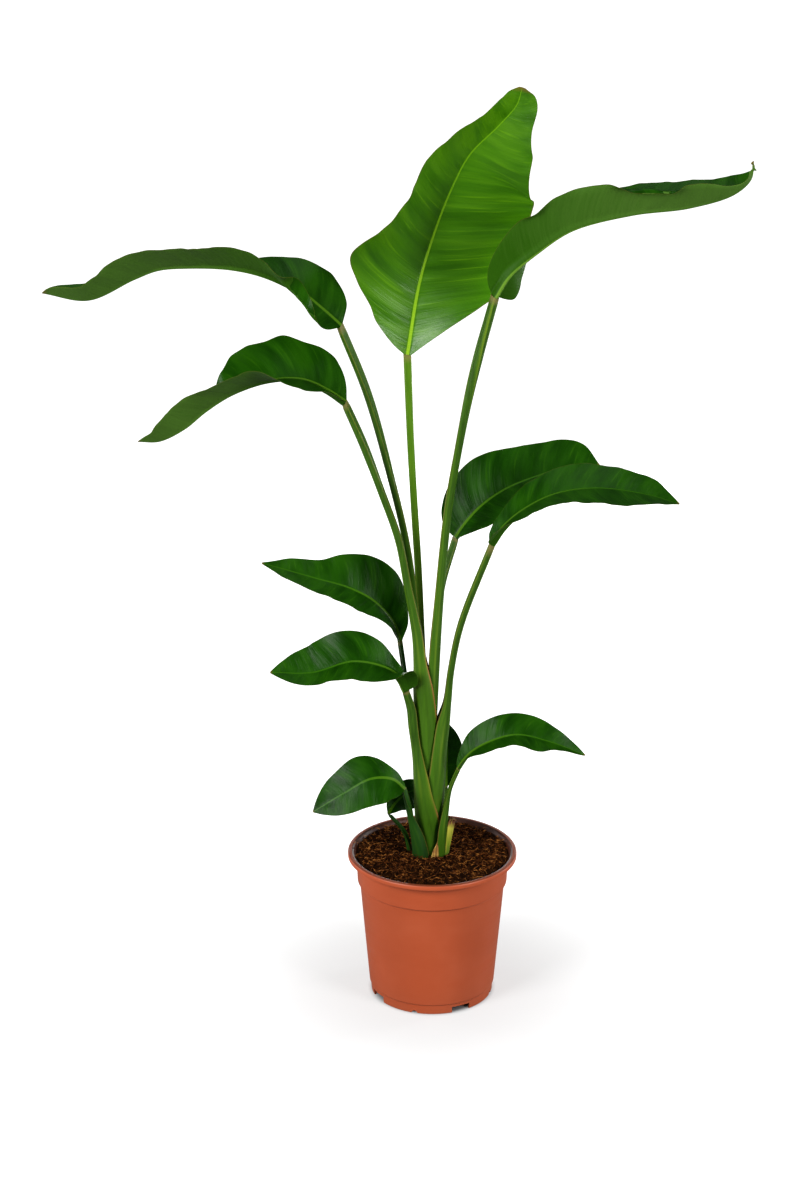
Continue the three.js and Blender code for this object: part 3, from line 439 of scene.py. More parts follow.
crumb_earth, tree, main, place = shader("loose_crumbs")
earth = ramp(tree, clouded(tree, place, 190.0, 3.0), [
    (0.35, (0.006, 0.002, 0.0006)), (0.52, (0.03, 0.010, 0.0025)), (0.62, (0.09, 0.034, 0.008)),
    (0.72, (0.17, 0.075, 0.02))])
connect(tree, main, {"Base Color": earth, "Roughness": 0.9, "Specular IOR Level": 0.05})

coir, tree, main, place = shader("coir_fibre")
straw = ramp(tree, clouded(tree, place, 150.0), [
    (0.38, (0.02, 0.006, 0.0015)), (0.52, (0.11, 0.034, 0.007)), (0.66, (0.38, 0.165, 0.042))])
connect(tree, main, {"Base Color": straw, "Roughness": 0.8, "Specular IOR Level": 0.1})

for name, values in (
    ("soil_crumbs", {"Density": 45000.0, "Smallest": (0.0006, 0.0006, 0.0005),
                     "Largest": (0.0024, 0.0024, 0.0018),
                     "Wander": 0.0014, "Seed": 4, "Tilt": 6.0, "Fibres": False, "Material": crumb_earth}),
    ("coir_fibres", {"Density": 24000.0, "Smallest": (0.008, -0.015, 0.012), "Largest": (0.023, 0.015, 0.022),
                     "Wander": 0.003, "Seed": 9, "Tilt": 0.5, "Fibres": True, "Material": coir}),
):
    loose = finished(name, grown(name, soil_mesh, scatter, values), values["Material"])
    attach(loose, "root")


# Leaf blades: paddles of two halves grown together at the midrib, folded and curled along their length. Side
# veins run from the midrib to the margin, sweeping towards the tip, and pleat the blade lightly. near is the
# half on the viewer's side: how far its base lobe sweeps back, and [place along the leaf, half-width in mm].
# flip: how far a margin turns over, from what share of the half-width, and over what share. neck: depth and
# breadth of the midrib's foot. wave: how many, how high, and where it starts on each half. PLEATS and
# BILLOWS: height and spacing in mm.
BLADE, HALF_COLUMNS, BLADE_DETAIL, FEWEST_ROWS = 0.8, 22, 0.45, 70
RIB_TAPER, RIB_COLUMNS = 0.8, (0.3, 0.6, 0.9, 1.3)
UNTURNED = ([[0, 0], [1, 0]], [[0, 0.8], [1, 0.8]], 0.2)
VEIN_SWEEP, VEIN_BEND = 0.30, 0.16
PLEATS = ((0.04, 6.3), (0.14, 13.0), (0.34, 31.0))
BILLOWS = ((0.8, 71.0), (0.55, 43.0))
leaves = {
    1: {"midrib": [[-36, 26, 936], [-20, 38, 1031], [-2, 46, 1092], [21, 52, 1152], [46, 54, 1200],
            [84, 48, 1240], [107, 40, 1269], [113, 34, 1292]], "heads": 1, "faces": [0, -1, 0.1],
        "roll": [[0, 0], [0.2, 4], [0.4, 18], [0.7, 20], [0.9, 8], [1, 0]],
        "fold": [[0, 25], [0.2, 14], [0.4, 20], [0.7, 20], [1, 10]], "neck": [9, 11],
        "near": (0, [[0, 5], [0.03, 17], [0.1, 46], [0.2, 85], [0.3, 111], [0.42, 121], [0.6, 111],
            [0.72, 102], [0.82, 70], [0.9, 38], [0.96, 25], [0.985, 17], [1, 4]]),
        "far": (2, [[0, 5], [0.03, 22], [0.1, 50], [0.15, 62], [0.22, 88], [0.29, 110], [0.38, 90],
            [0.5, 64], [0.62, 61], [0.72, 47], [0.84, 30], [0.94, 23], [0.98, 17], [1, 4]]),
        "wave": [2.2, 4, 0.1, 0.45]},
    2: {"midrib": [[78, -42, 1034], [97, -46, 1067], [130, -52, 1097], [175, -58, 1127], [252, -64, 1147],
            [326, -64, 1155], [383, -60, 1171], [404, -58, 1190], [406, -58, 1213]], "heads": 1,
        "roll": [[0, -66], [0.06, -60], [0.15, -38], [0.3, -27], [0.5, -22], [0.72, -17], [1, -15]],
        "fold": [[0, 12], [0.06, 14], [0.15, 34], [0.3, 47], [0.5, 43], [0.72, 39], [1, 35]],
            "neck": [10, 12],
        "near": (6, [[0, 5], [0.03, 15], [0.1, 31], [0.2, 46], [0.3, 50], [0.42, 52], [0.55, 50], [0.7, 44],
            [0.78, 38], [0.84, 26], [0.9, 12], [0.96, 7], [1, 3]]),
        "near_flip": ([[0, 0], [0.22, 0], [0.28, -60], [0.34, 0], [0.48, 0], [0.56, -120], [0.66, -110],
            [0.72, 0], [1, 0]], [[0, 0.75], [1, 0.75]], 0.2),
        "far": (24, [[0, 5], [0.03, 27], [0.1, 38], [0.2, 56], [0.3, 64], [0.38, 76], [0.45, 77],
            [0.55, 70], [0.7, 62], [0.82, 53], [0.9, 40], [0.95, 20], [0.975, 5], [1, 2]]),
        "wave": [2.5, 2, 0.1, 0.5]},
    3: {"midrib": [[-124, 6, 982], [-145, 4, 1002], [-178, 0, 1030], [-220, -4, 1052], [-267, -6, 1063],
            [-329, -6, 1064], [-365, -5, 1060], [-397, -4, 1047], [-458, -2, 1018], [-519, 0, 1027]],
            "heads": -1,
        "roll": [[0, 40], [0.1, 40], [0.15, 35], [0.2, 22], [0.25, 0], [0.3, -10], [0.36, -15], [0.46, -18],
            [0.68, -16], [1, -10]],
        "fold": [[0, 20], [0.05, 12], [0.1, 8], [0.15, 10], [0.2, 8], [0.25, 20], [0.3, 19], [0.36, 14],
            [0.46, 20], [0.68, 27], [0.83, 33], [1, 35]], "neck": [9, 11],
        "near": (3, [[0, 5], [0.03, 21], [0.06, 28], [0.1, 35], [0.15, 34], [0.2, 35], [0.25, 34],
            [0.3, 38], [0.36, 50], [0.42, 59], [0.5, 57], [0.6, 58], [0.7, 55], [0.78, 46], [0.88, 35],
            [0.95, 26], [0.985, 14], [1, 2]]),
        "near_fold": [[0, 0], [0.05, -5], [0.15, 0], [0.2, -3], [0.25, 18], [0.3, 25], [0.36, 24],
            [0.46, 20], [0.68, 27], [0.83, 33], [1, 35]],
        "near_flip": ([[0, 0], [0.05, 15], [0.1, 90], [0.15, 130], [0.2, 110], [0.25, 10], [0.3, 0],
            [1, 0]], [[0, 0.7], [0.1, 0.55], [0.15, 0.4], [0.2, 0.25], [1, 0.25]], 0.35),
        "far": (4, [[0, 5], [0.03, 31], [0.1, 52], [0.15, 52], [0.2, 57], [0.25, 55], [0.3, 56], [0.4, 70],
            [0.5, 72], [0.6, 69], [0.75, 53], [0.88, 38], [0.95, 26], [0.985, 14], [1, 2]]),
        "wave": [3, 2.5, 0.1, 0.6]},
    4: {"midrib": [[-118, -14, 883], [-141, -16, 899], [-175, -20, 915], [-219, -24, 915], [-269, -26, 897],
            [-305, -27, 873], [-334, -26, 848], [-368, -24, 830], [-397, -22, 829]], "heads": -1,
        "roll": [[0, 18], [0.1, 21], [0.28, 19], [0.4, 4], [0.53, -3], [0.61, -20], [0.75, -25], [1, -22]],
        "fold": [[0, 27], [0.1, 29], [0.2, 22], [0.28, 27], [0.4, 35], [0.53, 37], [0.61, 24], [0.75, 31],
            [1, 28]], "neck": [9, 11],
        "near": (2, [[0, 5], [0.03, 20], [0.1, 38], [0.2, 52], [0.3, 58], [0.45, 52], [0.6, 48], [0.75, 43],
            [0.88, 33], [0.95, 18], [1, 1]]),
        "far": (2, [[0, 5], [0.03, 21], [0.1, 46], [0.16, 56], [0.22, 58], [0.28, 65], [0.35, 61],
            [0.42, 67], [0.48, 60], [0.54, 44], [0.6, 44], [0.7, 48], [0.85, 38], [0.94, 22], [1, 1]]),
        "wave": [3, 2, 0.1, 0.5]},
    5: {"midrib": [[30, 44, 671], [44, 48, 691], [67, 53, 715], [99, 57, 737], [140, 60, 754],
            [187, 61, 768], [229, 60, 770]], "heads": 1,
        "roll": [[0, 32], [1, 34]],
        "fold": [[0, 26], [0.3, 20], [1, 14]], "neck": [7.5, 9.5],
        "near": (2, [[0, 5], [0.03, 11], [0.1, 30], [0.2, 48], [0.4, 56], [0.6, 54], [0.8, 40], [0.92, 18],
            [1, 1]]),
        "far": (8, [[0, 5], [0.03, 19], [0.1, 40], [0.2, 54], [0.35, 61], [0.5, 55], [0.7, 46], [0.82, 41],
            [0.92, 29], [1, 1]]),
        "wave": [2, 2.5, 0.1, 0.5]},
    6: {"midrib": [[76, -30, 688], [92, -33, 712], [117, -36, 736], [161, -40, 761], [217, -42, 770],
            [285, -42, 761], [330, -40, 747]], "heads": 1,
        "roll": [[0, 14], [1, 16]],
        "fold": [[0, 35], [0.15, 20], [0.5, 11], [1, 11]], "neck": [8.5, 10.5],
        "near": (6, [[0, 5], [0.03, 16], [0.1, 27], [0.2, 34], [0.35, 43], [0.5, 48], [0.7, 50], [0.8, 42],
            [0.9, 24], [0.96, 9], [1, 1]]),
        "far": (4, [[0, 5], [0.03, 13], [0.1, 22], [0.2, 31], [0.35, 43], [0.5, 52], [0.62, 46], [0.75, 39],
            [0.88, 34], [0.95, 15], [1, 1]]),
        "wave": [2.5, 2, 0.1, 0.5]},
    7: {"midrib": [[-45, 22, 526], [-54, 24, 552], [-81, 22, 585], [-117, 20, 606], [-162, 19, 620],
            [-236, 17, 643]], "heads": -1,
        "roll": [[0, 39], [1, 39]],
        "fold": [[0, 30], [0.2, 22], [1, 18]], "neck": [6, 7],
        "near": (0, [[0, 3], [0.03, 6], [0.1, 14], [0.2, 26], [0.35, 35], [0.5, 38], [0.65, 30], [0.8, 20],
            [0.92, 10], [1, 1]]),
        "far": (0, [[0, 3], [0.03, 8], [0.1, 22], [0.2, 42], [0.3, 53], [0.42, 54], [0.55, 43], [0.68, 27],
            [0.85, 17], [0.94, 7], [1, 1]]),
        "wave": [2, 2, 0.1, 0.5]},
    8: {"midrib": [[-35, -20, 471], [-46, -23, 491], [-68, -27, 507], [-111, -30, 516], [-167, -31, 500],
            [-225, -28, 499]], "heads": -1,
        "roll": [[0, -4], [0.1, 2], [0.2, 28], [0.5, 37], [1, 37]],
        "fold": [[0, 54], [0.1, 62], [0.2, 30], [0.5, 22], [1, 16]], "neck": [9, 11],
        "near": (7, [[0, 5], [0.03, 17], [0.1, 26], [0.2, 40], [0.35, 44], [0.5, 39], [0.7, 27], [0.85, 19],
            [0.94, 10], [1, 1]]),
        "far": (1, [[0, 5], [0.03, 8], [0.1, 12], [0.2, 20], [0.3, 33], [0.42, 42], [0.55, 45], [0.7, 40],
            [0.85, 29], [0.94, 14], [1, 1]]),
        "wave": [2, 2, 0.1, 0.5]},
    9: {"midrib": [[35, -16, 350], [49, -18, 371], [71, -22, 389], [115, -26, 405], [163, -28, 395],
            [212, -28, 375]], "heads": 1,
        "roll": [[0, 30], [1, 37]],
        "fold": [[0, 40], [0.2, 30], [1, 22]], "neck": [5, 6],
        "near": (2, [[0, 3], [0.03, 9], [0.1, 17], [0.2, 22], [0.35, 29], [0.5, 32], [0.65, 29], [0.8, 15],
            [0.92, 6], [1, 1]]),
        "far": (2, [[0, 3], [0.03, 7], [0.1, 14], [0.2, 25], [0.4, 31], [0.6, 29], [0.8, 18], [0.92, 9],
            [1, 1]]),
        "wave": [2.5, 2, 0.1, 0.5]},
    10: {"midrib": [[-39, -24, 322], [-56, -27, 338], [-86, -30, 340], [-124, -32, 319], [-168, -32, 290]],
            "heads": -1,
        "roll": [[0, 55], [1, 55]],
        "fold": [[0, 20], [0.3, 8], [1, 5]], "neck": [6, 7],
        "near": (3, [[0, 3], [0.03, 16], [0.1, 31], [0.2, 37], [0.4, 39], [0.6, 34], [0.8, 24], [0.92, 12],
            [1, 1]]),
        "far": (0, [[0, 3], [0.03, 5], [0.1, 9], [0.2, 17], [0.3, 28], [0.42, 36], [0.6, 33], [0.75, 27],
            [0.88, 16], [0.95, 8], [1, 1]]),
        "wave": [2, 1.5, 0.1, 0.5]},
    11: {"midrib": [[20, 32, 301], [20, 34, 330], [21, 37, 364], [15, 42, 400]], "heads": 1,
            "faces": [0.3, -1, 0.2],
        "roll": [[0, 0], [1, 0]],
        "fold": [[0, 30], [1, 14]], "neck": [4, 5],
        "near": (0, [[0, 2], [0.08, 10], [0.35, 21], [0.55, 22], [0.8, 14], [1, 1]]),
        "far": (0, [[0, 2], [0.08, 10], [0.35, 19], [0.55, 19], [0.8, 12], [1, 1]]),
        "wave": [1, 1, 0.1, 0.5]},
    12: {"midrib": [[-62, 12, 268], [-52, 22, 280], [-34, 35, 290], [-8, 49, 292]], "heads": 1,
            "faces": [-0.2, -0.9, 0.3],
        "roll": [[0, 0], [1, 0]],
        "fold": [[0, 18], [0.4, 5], [1, 0]], "neck": [4, 5],
        "near": (0, [[0, 2], [0.1, 10], [0.3, 19], [0.55, 24], [0.8, 17], [1, 1]]),
        "far": (0, [[0, 2], [0.1, 8], [0.3, 15], [0.55, 19], [0.8, 14], [1, 1]]),
        "wave": [1, 1, 0.1, 0.5]},
}


def through(stations, at):
    """Values of a smooth curve through [position, value] stations."""
    x, y = np.array(stations, float).T
    last = len(x) - 1
    before = np.maximum(np.arange(last + 1) - 1, 0)
    after = np.minimum(np.arange(last + 1) + 1, last)
    slope = (y[after] - y[before]) / (x[after] - x[before])
    at = np.clip(np.asarray(at, float), x[0], x[-1])
    i = np.clip(np.searchsorted(x, at) - 1, 0, last - 1)
    span = x[i + 1] - x[i]
    t = (at - x[i]) / span
    rise = 3 * t ** 2 - 2 * t ** 3
    bend = t * (1 - t) ** 2 * span * slope[i]
    return y[i] + (y[i + 1] - y[i]) * rise + bend + t * t * (t - 1) * span * slope[i + 1]


def along_curve(points, t):
    """Places on the smooth curve through the points, at t from 0 to 1."""
    points = np.asarray(points, float)
    p = np.vstack([2 * points[0] - points[1], points, 2 * points[-1] - points[-2]])
    t = np.clip(np.atleast_1d(t), 0, 1) * (len(points) - 1)
    i = np.minimum(t.astype(int), len(points) - 2)
    w = (t - i)[:, None]
    a, b, c, d = p[i], p[i + 1], p[i + 2], p[i + 3]
    ab, bc, cd = (((q - r) ** 2).sum(1, keepdims=True) ** 0.25 for q, r in ((a, b), (b, c), (c, d)))
    start = ((b - a) / ab - (c - a) / (ab + bc) + (c - b) / bc) * bc
    end = ((c - b) / bc - (d - b) / (bc + cd) + (d - c) / cd) * bc
    return b + start * w + (3 * (c - b) - 2 * start - end) * w ** 2 + (2 * (b - c) + start + end) * w ** 3


def heading(points, t):
    ahead = along_curve(points, np.asarray(t) + 1e-4) - along_curve(points, np.asarray(t) - 1e-4)
    return ahead / np.linalg.norm(ahead, axis=1, keepdims=True)


def squared(direction, tangent):
    """The part of each direction that is square to the tangent, at unit length."""
    direction = direction - (direction * tangent).sum(1, keepdims=True) * tangent
    return direction / np.linalg.norm(direction, axis=1, keepdims=True)


def blade_frames(leaf, u):
    """Places, tangents, upper-side normals and near-side directions at shares u of the midrib's length, and
    that length."""
    even = np.linspace(0, 1, 401)
    steps = np.linalg.norm(np.diff(along_curve(leaf["midrib"], even), axis=0), axis=1)
    length = np.concatenate([[0], np.cumsum(steps)])
    t = np.interp(u * length[-1], length, even)
    tangent = heading(leaf["midrib"], t)
    flat_up = squared(np.tile(leaf.get("faces", [0, 0, 1]), (len(u), 1)).astype(float), tangent)
    flat_near = np.cross(tangent, flat_up) * leaf["heads"]
    roll = np.radians(through(leaf["roll"], u))[:, None]
    up = flat_up * np.cos(roll) + flat_near * np.sin(roll)
    near = flat_near * np.cos(roll) - flat_up * np.sin(roll)
    return along_curve(leaf["midrib"], t), tangent, up, near, length[-1]


def eased(t):
    return t * t * (3 - 2 * t)


def rib_reach(leaf, u):
    """Half the midrib's breadth in mm."""
    return leaf["neck"][1] / 2 * (1 - RIB_TAPER * u)


def waves(distance, kinds, chance):
    """Waves of several heights and spacings in mm, each started at random."""
    starts = chance.uniform(0, 6.28, len(kinds))
    return sum(size * np.sin(2 * math.pi * distance / pitch + start)
               for (size, pitch), start in zip(kinds, starts))


def blade_half(leaf, side, u, frames, chance):
    """One half of the upper side, from beside the midrib to the margin: places, distances from the midrib,
    and the share of the half-width, each with a row for every u."""
    place, tangent, up, near, length = frames
    lobe_back, stations = leaf[side]
    sign, phase = (1, leaf["wave"][2]) if side == "near" else (-1, leaf["wave"][3])
    width = np.maximum(through(stations, u), 0.9)
    rib = rib_reach(leaf, u)
    first = np.minimum(0.22, rib / width)[:, None] * np.array([RIB_COLUMNS])
    rest = np.linspace(0, 1, HALF_COLUMNS - 3)[None, 1:]
    v = np.hstack([np.zeros((len(u), 1)), first, first[:, -1:] + (1 - first[:, -1:]) * rest])
    middle = (v[:, 1:] + v[:, :-1]) / 2
    crease = eased(np.clip(middle * width[:, None] / (1.1 * rib[:, None]), 0, 1))
    angle = np.radians(through(leaf.get(side + "_fold", leaf["fold"]), u))[:, None] * crease
    turn, start, over = leaf.get(side + "_flip", UNTURNED)
    strip = eased(np.clip((middle - through(start, u)[:, None]) / over, 0, 1))
    angle = (angle + np.radians(through(turn, u))[:, None] * strip)[:, :, None]
    step = (np.diff(v, axis=1) * width[:, None])[:, :, None]
    outward, above = sign * near[:, None, :], up[:, None, :]
    points = place[:, None, :] + np.cumsum(step * (outward * np.cos(angle) + above * np.sin(angle)), axis=1)
    normal = above * np.cos(angle) - outward * np.sin(angle)
    v = v[:, 1:]
    span = v * width[:, None]
    from_base = u[:, None] * length
    swell = (np.sin(math.pi * np.minimum(1, u * 1.02)) ** 0.6)[:, None]
    count, height = leaf["wave"][:2]
    wave = height * np.sin(2 * math.pi * (count * u + phase))[:, None] * v ** 2
    vein = from_base - VEIN_SWEEP * span - VEIN_BEND * span * v
    pleat = waves(vein, PLEATS, chance)
    billow = waves(from_base - 0.5 * span, BILLOWS, chance)
    ripple = np.sin(2 * math.pi * from_base / 23 + chance.uniform(0, 6.28)) * np.sin(from_base / 19)
    edge = np.clip((v - 0.82) / 0.18, 0, 1) ** 2
    off_rib = np.clip((span - rib[:, None]) / 6, 0, 1)
    lift = swell * (wave + off_rib * (pleat * (1 - 0.5 * v) + billow * v + 0.5 * ripple * edge))
    lobe = (lobe_back * np.maximum(0, 1 - u / 0.22) ** 2 * np.minimum(1, u / 0.05))[:, None] * v ** 2
    points = points + normal * lift[:, :, None] - tangent[:, None, :] * lobe[:, :, None]
    return points, sign * span, sign * v, vein


def facing_out(mesh):
    """The closed mesh with all its faces turned outward."""
    build = bmesh.new()
    build.from_mesh(mesh)
    bmesh.ops.recalc_face_normals(build, faces=build.faces)
    if build.calc_volume(signed=True) < 0:
        bmesh.ops.reverse_faces(build, faces=build.faces)
    build.to_mesh(mesh)
    build.free()
    return mesh


def blade_mesh(name, leaf, rows, seed):
    """A closed blade: the upper side, the underside with the midrib's keel, and the margin between them."""
    chance = np.random.default_rng(seed)
    u = np.linspace(0, 1, rows) ** 1.2
    frames = blade_frames(leaf, u)
    place, tangent, up, near, length = frames
    halves = {side: blade_half(leaf, side, u, frames, chance) for side in ("far", "near")}
    centre = (place[:, None, :], np.zeros((rows, 1)), np.zeros((rows, 1)), u[:, None] * length)
    grid, span, across, vein = (
        np.concatenate([halves["far"][k][:, ::-1], centre[k], halves["near"][k]], axis=1) for k in range(4))
    columns = grid.shape[1]
    down = np.gradient(grid, axis=0)
    over = np.gradient(grid, axis=1)
    face = np.cross(down, over)
    face *= np.sign((face * up[:, None, :]).sum(2, keepdims=True))
    face /= np.linalg.norm(face, axis=2, keepdims=True)
    inside = np.minimum(1, np.abs(span) / rib_reach(leaf, u)[:, None])
    keel = (leaf["neck"][0] - BLADE) * ((1 - u) ** 1.6)[:, None] * (1 - inside ** 2) ** 0.7
    thick = BLADE * np.where(np.abs(across) > 0.999, 0.55, 1.0)
    under = grid - face * thick[:, :, None] - up[:, None, :] * keel[:, :, None]
    verts = np.concatenate([grid.reshape(-1, 3), under.reshape(-1, 3)]) * MM
    total = rows * columns
    faces = []
    for i in range(rows - 1):
        for j in range(columns - 1):
            a = i * columns + j
            faces.append((a, a + 1, a + 1 + columns, a + columns))
            faces.append((total + a, total + a + columns, total + a + 1 + columns, total + a + 1))
    edge = [*range(columns), *range(2 * columns - 1, total, columns),
            *range(total - 2, total - columns - 1, -1), *range(total - 2 * columns, 0, -columns)]
    for a, b in zip(edge, edge[1:] + edge[:1]):
        faces.append((a, total + a, total + b, b))
    mesh = bpy.data.meshes.new(name)
    mesh.from_pydata(verts.tolist(), [], faces)
    facing_out(mesh)
    values = {"span": span, "across": across, "vein": vein, "along": np.repeat(u[:, None], columns, axis=1)}
    for label, value in values.items():
        flat = np.tile(value.ravel(), 2).astype(np.float32)
        mesh.attributes.new(label, "FLOAT", "POINT").data.foreach_set("value", flat)
    lower = np.repeat([0.0, 1.0], total).astype(np.float32)
    mesh.attributes.new("underside", "FLOAT", "POINT").data.foreach_set("value", lower)
    return mesh


def leaf_material(name, upper, lower, rib_upper, rib_lower, margin, gloss, level):
    """Leaf skin: upper side, underside, midrib and margin, with the side veins as fine lines and broader
    bands."""
    material, tree, main, place = shader(name)
    along, across, vein, span, under = (
        attribute(tree, k) for k in ("along", "across", "vein", "span", "underside"))

    def veined(per_mm, over):
        """Noise stretched out along the side veins."""
        strip = node(tree, "ShaderNodeCombineXYZ", {
            "X": times(tree, vein, per_mm), "Y": times(tree, across, over)})
        return clouded(tree, strip.outputs[0], 1.0)

    bands, streak, fine = veined(0.055, 0.8), veined(0.28, 1.1), veined(1.4, 2.0)
    tone = math_node(tree, "ADD", times(tree, bands, 0.6), times(tree, clouded(tree, place, 7.0), 0.4))
    light_vein, dark_vein = fade(tree, streak, 7.0, -4.1), fade(tree, fine, -6.0, 2.5)
    dark, middle, light, pale = upper
    colour = ramp(tree, tone, [(0.38, dark), (0.5, middle), (0.62, light)])
    colour = blend(tree, times(tree, light_vein, 0.45), colour, pale)
    colour = blend(tree, times(tree, dark_vein, 0.25), colour, dark)
    back = ramp(tree, math_node(tree, "MULTIPLY_ADD", streak, 0.35, along),
                [(0.3, lower[0]), (0.75, lower[1])])
    back = blend(tree, times(tree, light_vein, 0.25), back, pale)
    colour = blend(tree, under, colour, back)
    rib_width = math_node(tree, "MULTIPLY_ADD", along, -2.2, 2.7)
    rib_line = fade(tree, math_node(tree, "DIVIDE", math_node(tree, "ABSOLUTE", span), rib_width), -2.5, 2.6)
    rib = blend(tree, under, blend(tree, fade(tree, along, 2.0, -0.2), rib_upper, pale), rib_lower)
    colour = blend(tree, rib_line, colour, rib)
    rim = fade(tree, math_node(tree, "ABSOLUTE", across), 60.0, -58.9)
    colour = blend(tree, times(tree, rim, 0.7), colour, margin)
    dry_tip = fade(tree, along, 45.0, -44.2)
    colour = blend(tree, dry_tip, colour, (0.16, 0.09, 0.02))
    shine = ramp(tree, tone, [(0.36, (gloss,) * 3), (0.62, (gloss + 0.10,) * 3)])
    connect(tree, main, {
        "Base Color": colour, "Roughness": blend(tree, under, shine, (0.5, 0.5, 0.5)),
        "Specular IOR Level": level})
    bumped(tree, main, math_node(tree, "ADD", times(tree, streak, 0.9), times(tree, fine, 0.35)), 0.0009, 0.5)
    return material


green_leaf = leaf_material(
    "leaf_skin",
    upper=((0.006, 0.036, 0.0006), (0.010, 0.054, 0.0008), (0.016, 0.074, 0.0012), (0.030, 0.105, 0.003)),
    lower=((0.026, 0.088, 0.003), (0.062, 0.135, 0.020)), rib_upper=(0.07, 0.16, 0.010),
    rib_lower=(0.13, 0.25, 0.03),
    margin=(0.07, 0.075, 0.012), gloss=0.27, level=0.09)
young_green = leaf_material(
    "young_leaf_skin",
    upper=((0.026, 0.100, 0.0006), (0.042, 0.142, 0.0008), (0.062, 0.18, 0.001), (0.12, 0.28, 0.004)),
    lower=((0.05, 0.16, 0.012), (0.07, 0.19, 0.02)), rib_upper=(0.24, 0.42, 0.02),
    rib_lower=(0.26, 0.44, 0.04),
    margin=(0.13, 0.09, 0.03), gloss=0.27, level=0.3)

for number, leaf in leaves.items():
    rows = int(max(FEWEST_ROWS, BLADE_DETAIL * blade_frames(leaf, np.array([0.0, 1.0]))[4]))
    name = f"leaf_{number:02d}"
    young = number == 1
    mesh = blade_mesh(name, leaf, rows, 100 + number)
    blade = finished(name, mesh, young_green if young else green_leaf, sharp=60)
    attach(blade, "root")
    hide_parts(f"leaf_blade_{number:02d}")


